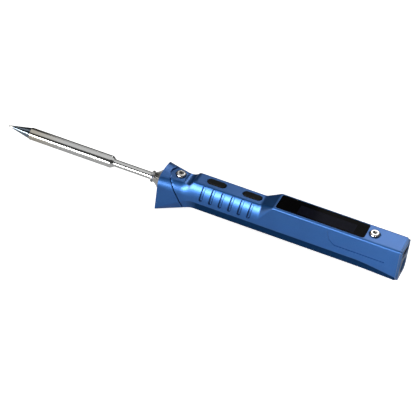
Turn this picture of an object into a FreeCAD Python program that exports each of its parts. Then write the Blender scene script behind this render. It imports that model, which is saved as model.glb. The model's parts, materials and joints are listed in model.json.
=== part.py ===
"""Pen soldering iron: a metal handle with screen and two keys, and a slide-in heating cartridge.

Working frame, in millimetres: X runs along the tool from the bit (-X) to the sockets (+X),
with X = 0 at the front rim of the guard; Z = 0 on the tool axis, +Z towards the screen.
finish() moves each piece to the finished frame, whose origin is under the middle of the tool.
"""
import FreeCAD, Part
import collections
import math
import os

os.makedirs("parts", exist_ok=True)

# ---------------------------------------------------------------- overall sizes
EXPOSED_LENGTH = 72.5       # point of the bit to the front rim of the guard
SHELL_END = 105.0           # front rim of the guard to the rear edge of the shell
HANDLE_WIDTH = 11.2
SCREEN_TOP = 9.9            # screen face above the tool axis
KEY_TOP = 7.7               # key plateau above the tool axis
HANDLE_BOTTOM = 5.9         # underside below the tool axis
GUARD_WIDTH = 15.0
GUARD_DROP = 10.7           # lowest edge of the guard below the tool axis
GUARD_CROWN = 6.3           # top corners of the guard above the tool axis

# ---------------------------------------------------------------- walls and clearances
WALL = 1.1
GUARD_WALL = 1.2
RUNNING_GAP = 0.05          # radial gap round the cartridge and the screws
PIECE_GAP = 0.1             # gap between neighbouring fixed pieces
KEY_GAP = 0.12              # gap round each key in its opening
OVERRUN = 1.0               # how far a cutter runs past the face it cuts

# ---------------------------------------------------------------- cartridge
BIT_LENGTH = 10.5
BIT_POINT_RADIUS = 0.3
SPIGOT_LENGTH = 7.0
BARREL_LENGTH = 39.2
BARREL_RADIUS = 2.67
BARREL_WALL = 0.35
BARREL_TAPER = 1.2          # length of the cone at the rear of the barrel
STEM_RADIUS = 1.6
STEM_WALL = 0.28
INSERT_DEPTH = 33.0         # stem behind the front rim of the guard
RING_GAP_LENGTH = 1.5       # insulating ring between two contacts
FRONT_RING_LENGTH = 5.0
REAR_RING_LENGTH = 7.0
STEM_CAP_LENGTH = 1.6
LEAD_RADIUS = 0.4
CORE_SEAT = 0.05            # how far the core's surface stands outside the bore of the stem
WINDING_HEIGHT = 0.6        # winding over its core
WINDING_TURNS = 14

# ---------------------------------------------------------------- guard, nose and clamp
WAIST_X = 11.2              # narrowest place, behind the clamp screw
BODY_X = 14.4               # where the plain handle section starts
CAVITY_DEPTH = 3.2          # hollow front of the guard
CAVITY_SHRINK = 2.2         # how much narrower the hollow is at its bottom
NOSE_SHANK_RADIUS = 3.3
NOSE_COLLAR_RADIUS = 2.5
NOSE_COLLAR_X = -5.5
NOSE_COLLAR_WIDTH = 1.0
NOSE_NECK_RADIUS = 2.1
NOSE_SKIRT_RADIUS = 5.3
NOSE_HOLLOWING = 1.15       # 1 is a straight cone, more is a hollower flare
NOSE_SKIRT_X = -0.4
NOSE_SKIRT_WIDTH = 0.5
CLAMP_X = 7.2               # axis of the clamp screw
CLAMP_BLOCK_LENGTH = 5.0
CLAMP_BLOCK_HALF = 2.9
SEAM_TOP = (2.6, 8.4)       # joint line between guard and shell, seen from the side
SEAM_MIDDLE = (7.2, 1.2)
SEAM_BOTTOM = (11.3, -6.6)
PAD_RADIUS = 4.35           # round pad that carries the clamp screw
PAD_TOP = 5.9
VALLEY_RADIUS = 2.9         # round valley between the pad and the key plateau
VALLEY_X = 11.4
VALLEY_Z = 8.1

# ---------------------------------------------------------------- screws
SCREW_HEAD_RADIUS = 2.2
SCREW_HEAD_HEIGHT = 1.5
SCREW_RECESS_GAP = 0.3
CLAMP_SCREW_RADIUS = 1.25
CLAMP_HEAD_SEAT = 5.4       # underside of the clamp screw's head
GROUND_SCREW_RADIUS = 1.0
GROUND_SCREW_X = 92.15
GROUND_SEAT_DEPTH = 0.5
GROUND_SCREW_LENGTH = 3.8
HEX_SIZE = 2.0              # hexagon socket across flats
HEX_DEPTH = 1.0

# ---------------------------------------------------------------- shell
FACET_TOP = -1.2            # upper edge of the lower side facet
FACET_RUNOUT = 15.0         # length over which the facet fades at the rear
RAMP_START = 44.3
RAMP_END = 50.0
SHOULDER_Z = 1.5            # where the rounded shoulder leaves the side
PLATEAU_HALF = 3.3
PLATEAU_STEP = 0.5          # small step round the plateau
EDGE_BEVEL = 0.7
GRIP_COUNT = 6
GRIP_START = 19.1
GRIP_PITCH = 4.27
GRIP_WIDTH = 1.0
GRIP_DEPTH = 0.55
GRIP_LOW = 0.9
GRIP_HIGH = 6.5
GRIP_SLANT = 6.0            # lean of each grip slot, in degrees
LINE_WIDTH = 0.35           # engraved side line
LINE_DEPTH = 0.25
LINE_START_X = 74.0
LINE_CORNER_X = (75.4, 77.7)
LINE_END_X = 99.5
LINE_HEIGHTS = (8.0, 4.0, 2.1)

# ---------------------------------------------------------------- screen and board
WINDOW_START = 50.6
WINDOW_LENGTH = 38.4
WINDOW_WIDTH = 9.3
WINDOW_THICKNESS = 0.8
WINDOW_CORNER = 0.7
WINDOW_LEDGE = 0.9
DISPLAY_START = 55.5
DISPLAY_LENGTH = 30.0
DISPLAY_HALF = 3.6
DISPLAY_THICKNESS = 1.3
DISPLAY_GAP = 0.2           # air between display and window
FRAME_WALL = 0.8
BOARD_Z = 4.0               # underside of the circuit board
BOARD_THICKNESS = 0.8
BOARD_SIDE_GAP = 0.8
BOARD_FRONT_GAP = 0.3
BOARD_REAR_GAP = 0.6
TRAY_THICKNESS = 1.1        # plastic tray under the board
TRAY_OVERHANG = 0.1         # tray outside the board's edge
GUIDE_START = 12.6
GUIDE_HALF = 2.8
GUIDE_DEPTH = 2.6
GUIDE_OVERHANG = 1.5        # guide runs on behind the cartridge
SPRING_THICKNESS = 0.25
SPRING_WIDTH = 1.6
SPRING_LENGTH = 4.0

# ---------------------------------------------------------------- keys
KEY_X = (23.2, 39.1)
KEY_LENGTH = 8.2
KEY_WIDTH = 3.3
KEY_PROUD = 0.45
KEY_TRAVEL = 0.3
KEY_LIP = 0.5               # retaining lip round the foot of each key
KEY_LIP_THICKNESS = 0.4
PLUNGER_RADIUS = 0.8
PLUNGER_ENTRY = 0.25        # how far the plunger sits in the switch at rest
SWITCH_LENGTH = 4.6
SWITCH_WIDTH = 3.6

# ---------------------------------------------------------------- sockets and rear cap
CAP_PROUD = 1.1
CAP_INSET = 0.35
CAP_PLUG_LENGTH = 2.2
CAP_CHAMFER = 0.3
USB_WIDTH = 8.94
USB_HEIGHT = 3.26
USB_WALL = 0.3
USB_LENGTH = 7.4
USB_ROOF_GAP = 0.12
USB_TONGUE_WIDTH = 6.7
USB_TONGUE_THICKNESS = 0.7
USB_TONGUE_RECESS = 1.4
DC_RADIUS = 3.2             # bore for a 6.3 mm plug sleeve
DC_PIN_RADIUS = 1.25
DC_BODY_RADIUS = 4.0
DC_AXIS_Z = -0.35
DC_BODY_LENGTH = 11.5
DC_BASE = 1.8               # solid rear of the power socket's body
DC_PIN_RECESS = 1.2         # pin's end inside the mouth of the socket's body
DC_CONTACT_WIDTH = 1.6
DC_CONTACT_THICKNESS = 0.25
STANDOFF_RADIUS = 2.1

CAP_END = SHELL_END + CAP_PROUD
OVERALL_LENGTH = EXPOSED_LENGTH + CAP_END
HALF_WIDTH = HANDLE_WIDTH / 2
CORE_RADIUS = STEM_RADIUS - STEM_WALL + CORE_SEAT
WINDING_RADIUS = CORE_RADIUS + WINDING_HEIGHT
BOARD_HALF = HALF_WIDTH - WALL - BOARD_SIDE_GAP
TRAY_HALF = BOARD_HALF + TRAY_OVERHANG
BARREL_START = -EXPOSED_LENGTH + BIT_LENGTH
BARREL_END = BARREL_START + BARREL_LENGTH
BOARD_START = BODY_X + WALL + BOARD_FRONT_GAP
BOARD_TOP = BOARD_Z + BOARD_THICKNESS
KEY_ROOF = KEY_TOP - WALL
SCREEN_ROOF = SCREEN_TOP - WALL
KEY_LIP_TOP = KEY_ROOF - PIECE_GAP
KEY_LIP_BOTTOM = KEY_LIP_TOP - KEY_LIP_THICKNESS
SWITCH_TOP = KEY_LIP_BOTTOM - KEY_TRAVEL - PIECE_GAP
CLAMP_BLOCK_START = CLAMP_X - CLAMP_BLOCK_LENGTH / 2
PLUG_START = SHELL_END - CAP_PLUG_LENGTH
STEM_BORE = STEM_RADIUS + RUNNING_GAP

Section = collections.namedtuple(
    "Section", "half_bottom bottom half_width facet shoulder half_step step half_top top crown")


def vec(x, y, z):
    return FreeCAD.Vector(x, y, z)


def box(x_range, y_range, z_range):
    """Box between three (low, high) pairs."""
    corner = vec(x_range[0], y_range[0], z_range[0])
    return Part.makeBox(
        x_range[1] - x_range[0], y_range[1] - y_range[0], z_range[1] - z_range[0], corner)


def post(x, y, radius, z_range):
    """Upright cylinder."""
    return Part.makeCylinder(radius, z_range[1] - z_range[0], vec(x, y, z_range[0]), vec(0, 0, 1))


def rod(radius, x_range, z=0.0):
    """Cylinder along the tool."""
    return Part.makeCylinder(radius, x_range[1] - x_range[0], vec(x_range[0], 0, z), vec(1, 0, 0))


def prism(points, direction):
    """Closed polygon pushed along a direction."""
    return Part.Face(Part.makePolygon(points + points[:1])).extrude(direction)


def turned(profile):
    """Solid of revolution about the tool axis from (x, radius) points."""
    points = [vec(x, 0, radius) for x, radius in profile]
    face = Part.Face(Part.makePolygon(points + points[:1]))
    return face.revolve(vec(0, 0, 0), vec(1, 0, 0), 360)


def rounded_plate(x_range, half_width, z_range, radius):
    """Flat plate with rounded upright corners."""
    plate = box(x_range, (-half_width, half_width), z_range)
    uprights = [edge for edge in plate.Edges if abs(edge.Length - (z_range[1] - z_range[0])) < 1e-6
                and abs(edge.Vertexes[0].Z - edge.Vertexes[1].Z) > 1e-6]
    return plate.makeFillet(min(radius, half_width - 1e-3), uprights)


def rounded_tube(x_range, width, height, z):
    """Bar along the tool with a flattened round section."""
    radius = height / 2
    middle = box(x_range, (-width / 2 + radius, width / 2 - radius), (z - radius, z + radius))
    sides = [Part.makeCylinder(radius, x_range[1] - x_range[0], vec(x_range[0], side, z), vec(1, 0, 0))
             for side in (-width / 2 + radius, width / 2 - radius)]
    return middle.fuse(sides).removeSplitter()


def hexagon_socket(x, top):
    """Cutter for the hexagon socket in a screw head."""
    corner = HEX_SIZE / math.sqrt(3)
    points = [vec(x + corner * math.cos(math.radians(60 * i)), corner * math.sin(math.radians(60 * i)),
                  top - HEX_DEPTH) for i in range(6)]
    return prism(points, vec(0, 0, HEX_DEPTH + OVERRUN))


def cap_screw(x, seat, radius, point):
    """Round-headed socket screw: head above its seat, shank down to its point."""
    top = seat + SCREW_HEAD_HEIGHT
    head = post(x, 0, SCREW_HEAD_RADIUS, (seat, top))
    rim = [edge for edge in head.Edges if abs(edge.BoundBox.ZMin - top) < 1e-6 and edge.Closed]
    head = head.makeFillet(SCREW_HEAD_HEIGHT * 0.45, rim)
    shank = post(x, 0, radius, (point, seat + SCREW_HEAD_HEIGHT / 4))
    return head.fuse(shank).cut(hexagon_socket(x, top)).removeSplitter()


# ---------------------------------------------------------------- handle sections
def rim_section():
    half = GUARD_WIDTH / 2
    return Section(half - 0.7, -GUARD_DROP, half, -GUARD_DROP + 0.8, GUARD_CROWN - 3.4,
                   half - 1.7, GUARD_CROWN - 0.7, half - 2.6, GUARD_CROWN, 0.7)


def waist_section():
    fade = WAIST_X / BODY_X
    bottom = -GUARD_DROP + (GUARD_DROP - HANDLE_BOTTOM) * fade
    half_bottom = GUARD_WIDTH / 2 - 0.7 - (GUARD_WIDTH / 2 - 0.7 - HALF_WIDTH + 1.6) * fade
    return Section(half_bottom, bottom, HALF_WIDTH - 0.15, FACET_TOP - 1.6, SHOULDER_Z - 1.2,
                   PLATEAU_HALF + 0.3, PAD_TOP - 0.7, PLATEAU_HALF, PAD_TOP - 0.3, 0.3)


def plateau_section(facet=FACET_TOP, side=0.0):
    return Section(HALF_WIDTH - 1.6 + side, -HANDLE_BOTTOM, HALF_WIDTH, facet, SHOULDER_Z,
                   PLATEAU_HALF + 0.4, KEY_TOP - PLATEAU_STEP, PLATEAU_HALF, KEY_TOP, 0.0)


def screen_section(facet=FACET_TOP, side=0.0):
    return Section(HALF_WIDTH - 1.6 + side, -HANDLE_BOTTOM, HALF_WIDTH, facet, SCREEN_TOP - EDGE_BEVEL,
                   HALF_WIDTH - EDGE_BEVEL * 0.4, SCREEN_TOP - EDGE_BEVEL * 0.25,
                   HALF_WIDTH - EDGE_BEVEL, SCREEN_TOP, 0.0)


def inset(section, amount):
    """The same section drawn in by a wall's thickness."""
    return section._replace(
        half_bottom=section.half_bottom - 0.72 * amount, bottom=section.bottom + amount,
        half_width=section.half_width - amount, facet=section.facet + 0.33 * amount,
        shoulder=section.shoulder - 0.9 * amount,
        half_step=section.half_step - 0.9 * amount, step=section.step - 0.9 * amount,
        half_top=section.half_top - 0.75 * amount, top=section.top - amount)


def curve(start, control, end):
    bezier = Part.BezierCurve()
    bezier.setPoles([start, control, end])
    return bezier.toShape()


def outline(x, section):
    """Closed wire of a handle section at a station along the tool."""
    right = [(section.half_bottom, section.bottom), (section.half_width, section.facet),
             (section.half_width, section.shoulder), (section.half_step, section.step),
             (section.half_top, section.top)]
    low, facet, shoulder, step, top = [vec(x, y, z) for y, z in right]
    low_l, facet_l, shoulder_l, step_l, top_l = [vec(x, -y, z) for y, z in right]
    knee = section.shoulder + 0.8 * (section.step - section.shoulder)
    return Part.Wire([
        Part.makeLine(low_l, low),
        Part.makeLine(low, facet),
        Part.makeLine(facet, shoulder),
        curve(shoulder, vec(x, section.half_width, knee), step),
        Part.makeLine(step, top),
        curve(top, vec(x, 0, section.top + 2 * section.crown), top_l),
        Part.makeLine(top_l, step_l),
        curve(step_l, vec(x, -section.half_width, knee), shoulder_l),
        Part.makeLine(shoulder_l, facet_l),
        Part.makeLine(facet_l, low_l)])


def loft(stations):
    """Solid through (x, section) stations, straight between each pair."""
    return Part.makeLoft([outline(x, section) for x, section in stations], True, True)


def handle_form():
    """Outer form of guard and shell together."""
    fade_start = SHELL_END - FACET_RUNOUT
    front = loft([(0, rim_section()), (WAIST_X, waist_section()), (BODY_X, plateau_section())])
    plateau = loft([(BODY_X, plateau_section()), (RAMP_START, plateau_section())])
    ramp = loft([(RAMP_START, plateau_section()), (RAMP_END, screen_section())])
    straight = loft([(RAMP_END, screen_section()), (fade_start, screen_section())])
    fade = loft([(fade_start, screen_section()),
                 (SHELL_END, screen_section(FACET_TOP - 2.3, 0.7))])
    return front.fuse([plateau, ramp, straight, fade])


def handle_hollow():
    """Inside of the shell, open at the rear."""
    start = CLAMP_BLOCK_START + CLAMP_BLOCK_LENGTH
    waist = waist_section()._replace(
        facet=FACET_TOP, bottom=-HANDLE_BOTTOM, half_bottom=HALF_WIDTH - 1.6)
    return loft([(start, inset(waist, WALL)), (WAIST_X, inset(waist, WALL)),
                 (BODY_X + WALL, inset(plateau_section(), WALL)),
                 (RAMP_START + WALL, inset(plateau_section(), WALL)),
                 (RAMP_END + WALL, inset(screen_section(), WALL)),
                 (SHELL_END + OVERRUN, inset(screen_section(), WALL))])


def seam_cutter():
    """Everything in front of the joint line between guard and shell."""
    points = [vec(x, -GUARD_WIDTH, z) for x, z in (SEAM_TOP, SEAM_MIDDLE, SEAM_BOTTOM)]
    run_up = SEAM_TOP[0] + (SEAM_TOP[0] - SEAM_MIDDLE[0])
    run_down = SEAM_BOTTOM[0] + (SEAM_BOTTOM[0] - SEAM_MIDDLE[0])
    above = vec(run_up, -GUARD_WIDTH, SEAM_TOP[1] + (SEAM_TOP[1] - SEAM_MIDDLE[1]))
    below = vec(run_down, -GUARD_WIDTH, SEAM_BOTTOM[1] + (SEAM_BOTTOM[1] - SEAM_MIDDLE[1]))
    front_low = vec(-GUARD_WIDTH, -GUARD_WIDTH, below.z)
    front_high = vec(-GUARD_WIDTH, -GUARD_WIDTH, above.z)
    edges = [Part.makeLine(above, points[0]), Part.Arc(*points).toShape(),
             Part.makeLine(points[2], below), Part.makeLine(below, front_low),
             Part.makeLine(front_low, front_high), Part.makeLine(front_high, above)]
    return Part.Face(Part.Wire(edges)).extrude(vec(0, 2 * GUARD_WIDTH, 0))


def clamp_block_form():
    return box((CLAMP_BLOCK_START, CLAMP_BLOCK_START + CLAMP_BLOCK_LENGTH),
               (-CLAMP_BLOCK_HALF, CLAMP_BLOCK_HALF), (-CLAMP_BLOCK_HALF, CLAMP_BLOCK_HALF))


def clamp_openings():
    """Pad recess, screw passage, stem passage and block pocket at the front."""
    recess = post(CLAMP_X, 0, PAD_RADIUS, (PAD_TOP, SCREEN_TOP))
    head = post(CLAMP_X, 0, SCREW_HEAD_RADIUS + SCREW_RECESS_GAP, (CLAMP_HEAD_SEAT, SCREEN_TOP))
    shank = post(CLAMP_X, 0, CLAMP_SCREW_RADIUS + PIECE_GAP, (0, SCREEN_TOP))
    stem = rod(STEM_BORE, (-OVERRUN, BODY_X))
    valley = Part.makeCylinder(
        VALLEY_RADIUS, 2 * GUARD_WIDTH, vec(VALLEY_X, -GUARD_WIDTH, VALLEY_Z), vec(0, 1, 0))
    return [recess, head, shank, stem, valley, clamp_block_form()]


def nose_socket():
    return rod(NOSE_SHANK_RADIUS, (-OVERRUN, CLAMP_BLOCK_START))


def front_guard(form):
    pad = post(CLAMP_X, 0, PAD_RADIUS, (CLAMP_BLOCK_HALF, SCREEN_TOP))
    guard = form.common(seam_cutter()).cut([pad] + clamp_openings())
    rim = inset(rim_section(), GUARD_WALL)
    deep = inset(rim_section(), GUARD_WALL + CAVITY_SHRINK)
    mouth = inset(rim_section(), GUARD_WALL - CAVITY_SHRINK * OVERRUN / CAVITY_DEPTH)
    hollow = loft([(-OVERRUN, mouth), (0, rim), (CAVITY_DEPTH, deep)])
    return guard.cut([hollow, nose_socket()])


def grip_slots():
    """Slanted round-ended slots across both shoulders, of even depth."""
    length = GRIP_HIGH - GRIP_LOW
    slots = []
    for number in range(GRIP_COUNT):
        x = GRIP_START + number * GRIP_PITCH
        bar = box((x - GRIP_WIDTH / 2, x + GRIP_WIDTH / 2), (-HANDLE_WIDTH, HANDLE_WIDTH),
                  (GRIP_LOW, GRIP_HIGH))
        ends = [Part.makeCylinder(GRIP_WIDTH / 2, 2 * HANDLE_WIDTH, vec(x, -HANDLE_WIDTH, z), vec(0, 1, 0))
                for z in (GRIP_LOW, GRIP_HIGH)]
        slot = bar.fuse(ends)
        slot.rotate(vec(x, 0, GRIP_LOW + length / 2), vec(0, 1, 0), GRIP_SLANT)
        slots.append(slot)
    core = loft([(BODY_X, inset(plateau_section(), GRIP_DEPTH)),
                 (RAMP_START, inset(plateau_section(), GRIP_DEPTH))])
    return [slot.cut(core) for slot in slots]


def side_lines():
    """Engraved line on both sides below the screen."""
    corners = [(LINE_START_X, LINE_HEIGHTS[0]), (LINE_CORNER_X[0], LINE_HEIGHTS[1]),
               (LINE_CORNER_X[1], LINE_HEIGHTS[2]), (LINE_END_X, LINE_HEIGHTS[2])]
    cutters = []
    for start, end in zip(corners, corners[1:]):
        length = math.dist(start, end)
        angle = math.degrees(math.atan2(end[1] - start[1], end[0] - start[0]))
        for side in (-1, 1):
            depth_range = sorted((side * (HALF_WIDTH - LINE_DEPTH), side * (HALF_WIDTH + OVERRUN)))
            bar = box((start[0], start[0] + length + LINE_WIDTH / 2), depth_range,
                      (start[1] - LINE_WIDTH / 2, start[1] + LINE_WIDTH / 2))
            bar.rotate(vec(start[0], 0, start[1]), vec(0, 1, 0), -angle)
            cutters.append(bar)
    return cutters


def key_form(x, growth, z_range):
    """Round-ended bar of a key's outline, grown all round."""
    half = KEY_WIDTH / 2 + growth
    straight = (KEY_LENGTH - KEY_WIDTH) / 2
    middle = box((x - straight, x + straight), (-half, half), z_range)
    ends = [post(x + side * straight, 0, half, z_range) for side in (-1, 1)]
    return middle.fuse(ends).removeSplitter()


def window_range(growth):
    return (WINDOW_START - growth, WINDOW_START + WINDOW_LENGTH + growth)


def main_shell(form):
    pad = post(CLAMP_X, 0, PAD_RADIUS - RUNNING_GAP, (CLAMP_BLOCK_HALF, PAD_TOP))
    pad = pad.common(form)
    shell = form.cut(seam_cutter()).fuse(pad).cut(clamp_openings() + [nose_socket()])
    window_seat = rounded_plate(window_range(RUNNING_GAP), WINDOW_WIDTH / 2 + RUNNING_GAP,
                                (SCREEN_TOP - WINDOW_THICKNESS, SCREEN_TOP + OVERRUN), WINDOW_CORNER)
    window_hole = rounded_plate(window_range(-WINDOW_LEDGE), WINDOW_WIDTH / 2 - WINDOW_LEDGE,
                                (SCREEN_ROOF - OVERRUN, SCREEN_TOP), WINDOW_CORNER)
    keys = [key_form(x, KEY_GAP, (KEY_ROOF - OVERRUN, KEY_TOP + OVERRUN)) for x in KEY_X]
    ground = [post(GROUND_SCREW_X, 0, SCREW_HEAD_RADIUS + SCREW_RECESS_GAP,
                   (SCREEN_TOP - GROUND_SEAT_DEPTH, SCREEN_TOP + OVERRUN)),
              post(GROUND_SCREW_X, 0, GROUND_SCREW_RADIUS + PIECE_GAP, (SCREEN_ROOF - OVERRUN, SCREEN_TOP))]
    usb = rounded_tube((CAP_END - USB_LENGTH - PIECE_GAP, CAP_END), USB_WIDTH + 2 * RUNNING_GAP,
                       USB_HEIGHT + 2 * RUNNING_GAP, usb_height())
    shell = shell.cut([handle_hollow(), window_seat, window_hole, usb] + keys + ground)
    return shell.cut(grip_slots() + side_lines())


def nose_cone():
    """Turned steel nose: collar, hollow flare and the shank held in the guard."""
    collar_end = NOSE_COLLAR_X + NOSE_COLLAR_WIDTH
    flare_length = NOSE_SKIRT_X - collar_end
    steps = 8
    flare = []
    for i in range(steps + 1):
        share = i / steps
        radius = NOSE_NECK_RADIUS + (NOSE_SKIRT_RADIUS - NOSE_NECK_RADIUS) * share ** NOSE_HOLLOWING
        flare.append((collar_end + share * flare_length, radius))
    skirt_end = NOSE_SKIRT_X + NOSE_SKIRT_WIDTH
    profile = [(NOSE_COLLAR_X, STEM_BORE), (NOSE_COLLAR_X, NOSE_COLLAR_RADIUS),
               (collar_end, NOSE_COLLAR_RADIUS)] + flare
    profile += [(skirt_end, NOSE_SKIRT_RADIUS), (skirt_end, NOSE_SHANK_RADIUS),
                (CLAMP_BLOCK_START, NOSE_SHANK_RADIUS), (CLAMP_BLOCK_START, STEM_BORE)]
    return turned(profile)


def clamp_block():
    hole = post(CLAMP_X, 0, CLAMP_SCREW_RADIUS + RUNNING_GAP, (0, CLAMP_BLOCK_HALF + OVERRUN))
    stem = rod(STEM_BORE, (CLAMP_BLOCK_START - OVERRUN, CLAMP_X + CLAMP_BLOCK_LENGTH))
    return clamp_block_form().cut([hole, stem])


# ---------------------------------------------------------------- cartridge pieces
def tip_bit():
    """Pointed bit with a spigot that fills the front of the barrel."""
    point = -EXPOSED_LENGTH
    ball = point + BIT_POINT_RADIUS
    slope = math.asin(BIT_POINT_RADIUS / BIT_LENGTH) + math.atan2(BARREL_RADIUS, BIT_LENGTH)
    tangent_x = ball - BIT_POINT_RADIUS * math.sin(slope)
    tangent_r = BIT_POINT_RADIUS * math.cos(slope)
    middle = math.radians(90) + slope
    halfway = vec(ball + BIT_POINT_RADIUS * math.cos((math.pi + middle) / 2), 0,
                  BIT_POINT_RADIUS * math.sin((math.pi + middle) / 2))
    arc = Part.Arc(vec(point, 0, 0), halfway, vec(tangent_x, 0, tangent_r)).toShape()
    spigot = BARREL_RADIUS - BARREL_WALL
    corners = [vec(tangent_x, 0, tangent_r), vec(BARREL_START, 0, BARREL_RADIUS),
               vec(BARREL_START, 0, spigot), vec(BARREL_START + SPIGOT_LENGTH, 0, spigot),
               vec(BARREL_START + SPIGOT_LENGTH, 0, 0), vec(point, 0, 0)]
    lines = [Part.makeLine(a, b) for a, b in zip(corners, corners[1:])]
    face = Part.Face(Part.Wire([arc] + lines))
    return face.revolve(vec(0, 0, 0), vec(1, 0, 0), 360)


def heater_barrel():
    inner = BARREL_RADIUS - BARREL_WALL
    taper = BARREL_END - BARREL_TAPER
    mouth = STEM_RADIUS
    return turned([(BARREL_START, inner), (BARREL_START, BARREL_RADIUS), (taper, BARREL_RADIUS),
                   (BARREL_END, mouth + BARREL_WALL), (BARREL_END, mouth), (taper - BARREL_WALL, mouth),
                   (taper - BARREL_WALL, inner)])


def heater_range():
    return (BARREL_START + SPIGOT_LENGTH, BARREL_END - BARREL_TAPER - 2 * BARREL_WALL)


def stem_start():
    return BARREL_END - BARREL_TAPER - 2 * BARREL_WALL


def heater_core():
    start, end = heater_range()
    return rod(CORE_RADIUS, (start, end)).cut(rod(LEAD_RADIUS, (end - 2 * CORE_RADIUS, end + OVERRUN)))


def heater_winding():
    """Resistance winding, one groove per turn, round the ceramic core."""
    start, end = heater_range()
    start += CORE_RADIUS
    end -= 2 * CORE_RADIUS
    turn = (end - start) / WINDING_TURNS
    groove = WINDING_RADIUS - 0.25
    profile = [(start, CORE_RADIUS)]
    for number in range(WINDING_TURNS):
        x = start + number * turn
        profile += [(x, groove), (x + turn * 0.25, WINDING_RADIUS), (x + turn * 0.75, WINDING_RADIUS)]
    profile += [(end, groove), (end, CORE_RADIUS)]
    return turned(profile)


def contact_spans():
    """Lengths of stem, rings and insulators, from the front: name to (start, end)."""
    cap = (INSERT_DEPTH - STEM_CAP_LENGTH, INSERT_DEPTH)
    rear = (cap[0] - REAR_RING_LENGTH, cap[0])
    middle = (rear[0] - RING_GAP_LENGTH, rear[0])
    front = (middle[0] - FRONT_RING_LENGTH, middle[0])
    first = (front[0] - RING_GAP_LENGTH, front[0])
    return {"cap": cap, "rear": rear, "middle": middle, "front": front, "first": first,
            "stem": (stem_start(), first[0])}


def ring(span):
    return rod(STEM_RADIUS, span).cut(rod(STEM_RADIUS - STEM_WALL, (span[0] - OVERRUN, span[1] + OVERRUN)))


def heater_lead():
    start = heater_range()[1] - 2 * CORE_RADIUS
    return rod(LEAD_RADIUS, (start, contact_spans()["rear"][1]))


# ---------------------------------------------------------------- inside the handle
def board_end():
    return PLUG_START - BOARD_REAR_GAP


def tray_end():
    return PLUG_START - DC_BODY_LENGTH - PIECE_GAP


def spring_windows(z_range):
    """Openings over the two contact rings."""
    spans = contact_spans()
    half = SPRING_WIDTH / 2 + PIECE_GAP
    return [box((spans[name][0], spans[name][0] + SPRING_LENGTH + PIECE_GAP), (-half, half), z_range)
            for name in ("front", "rear")]


def board_tray():
    """Plastic tray that carries the board."""
    tray = box((BOARD_START, tray_end()), (-TRAY_HALF, TRAY_HALF), (BOARD_Z - TRAY_THICKNESS, BOARD_Z))
    return tray.cut(spring_windows((0, BOARD_Z + OVERRUN)))


def cartridge_guide():
    """Plastic block that guides the stem below the tray."""
    top = BOARD_Z - TRAY_THICKNESS
    end = INSERT_DEPTH + GUIDE_OVERHANG
    block = box((GUIDE_START, end), (-GUIDE_HALF, GUIDE_HALF), (-GUIDE_DEPTH, top))
    bore = rod(STEM_BORE, (GUIDE_START - OVERRUN, INSERT_DEPTH + RUNNING_GAP))
    return block.cut([bore] + spring_windows((0, top + OVERRUN)))


def contact_spring(span):
    """Bent leaf from the board down to a contact ring."""
    start = span[0] + PIECE_GAP
    end = start + SPRING_LENGTH - 2 * PIECE_GAP
    low = STEM_RADIUS + RUNNING_GAP
    thick = SPRING_THICKNESS
    half = SPRING_WIDTH / 2
    points = [(start, BOARD_Z), (start, BOARD_Z - thick), (end - 2 * thick, BOARD_Z - thick),
              (start + thick, low + thick), (start + thick, low), (start + 3 * thick, low),
              (end, BOARD_Z - thick), (end, BOARD_Z)]
    return prism([vec(x, -half, z) for x, z in points], vec(0, 2 * half, 0))


def main_board():
    return box((BOARD_START, board_end()), (-BOARD_HALF, BOARD_HALF), (BOARD_Z, BOARD_TOP))


def display_levels():
    bottom_of_window = SCREEN_TOP - WINDOW_THICKNESS
    top = bottom_of_window - DISPLAY_GAP
    return (top - DISPLAY_THICKNESS, top)


def display_module():
    span = (DISPLAY_START, DISPLAY_START + DISPLAY_LENGTH)
    return box(span, (-DISPLAY_HALF, DISPLAY_HALF), display_levels())


def display_frame():
    """Open frame that holds the display over the board."""
    span = (DISPLAY_START, DISPLAY_START + DISPLAY_LENGTH)
    inner = (span[0] + FRAME_WALL, span[1] - FRAME_WALL)
    top = display_levels()[0]
    outer = box(span, (-DISPLAY_HALF, DISPLAY_HALF), (BOARD_TOP, top))
    half = DISPLAY_HALF - FRAME_WALL
    return outer.cut(box(inner, (-half, half), (BOARD_TOP - OVERRUN, top + OVERRUN)))


def screen_window():
    return rounded_plate(window_range(0), WINDOW_WIDTH / 2,
                         (SCREEN_TOP - WINDOW_THICKNESS, SCREEN_TOP), WINDOW_CORNER)


def chip(x, length, width, height):
    """Component soldered to the top of the board."""
    return box((x - length / 2, x + length / 2), (-width / 2, width / 2), (BOARD_TOP, BOARD_TOP + height))


def board_components():
    """Components under the display, spaced from the frame's front end."""
    first = DISPLAY_START + FRAME_WALL
    transistors = [chip(RAMP_START + 2.6 + 4.0 * i, 3.3, 3.3, 0.9) for i in range(2)]
    capacitors = [chip(first + 23.0 + 2.0 * i, 1.2, 2.0, 1.0) for i in range(3)]
    return {
        "controller_chip": chip(first + 5.0, 5.0, 5.0, 0.9),
        "inductor_coil": chip(first + 12.0, 4.0, 4.0, 1.9),
        "motion_sensor": chip(first + 18.0, 2.5, 2.5, 0.9),
        "power_transistors": Part.makeCompound(transistors),
        "capacitors": Part.makeCompound(capacitors),
    }


def switch_body(x):
    """Tactile switch with a round well for the key's plunger."""
    body = chip(x, SWITCH_LENGTH, SWITCH_WIDTH, SWITCH_TOP - BOARD_TOP)
    well = SWITCH_TOP - PLUNGER_ENTRY - KEY_TRAVEL - PIECE_GAP
    return body.cut(post(x, 0, PLUNGER_RADIUS + PIECE_GAP, (well, SWITCH_TOP + OVERRUN)))


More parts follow.
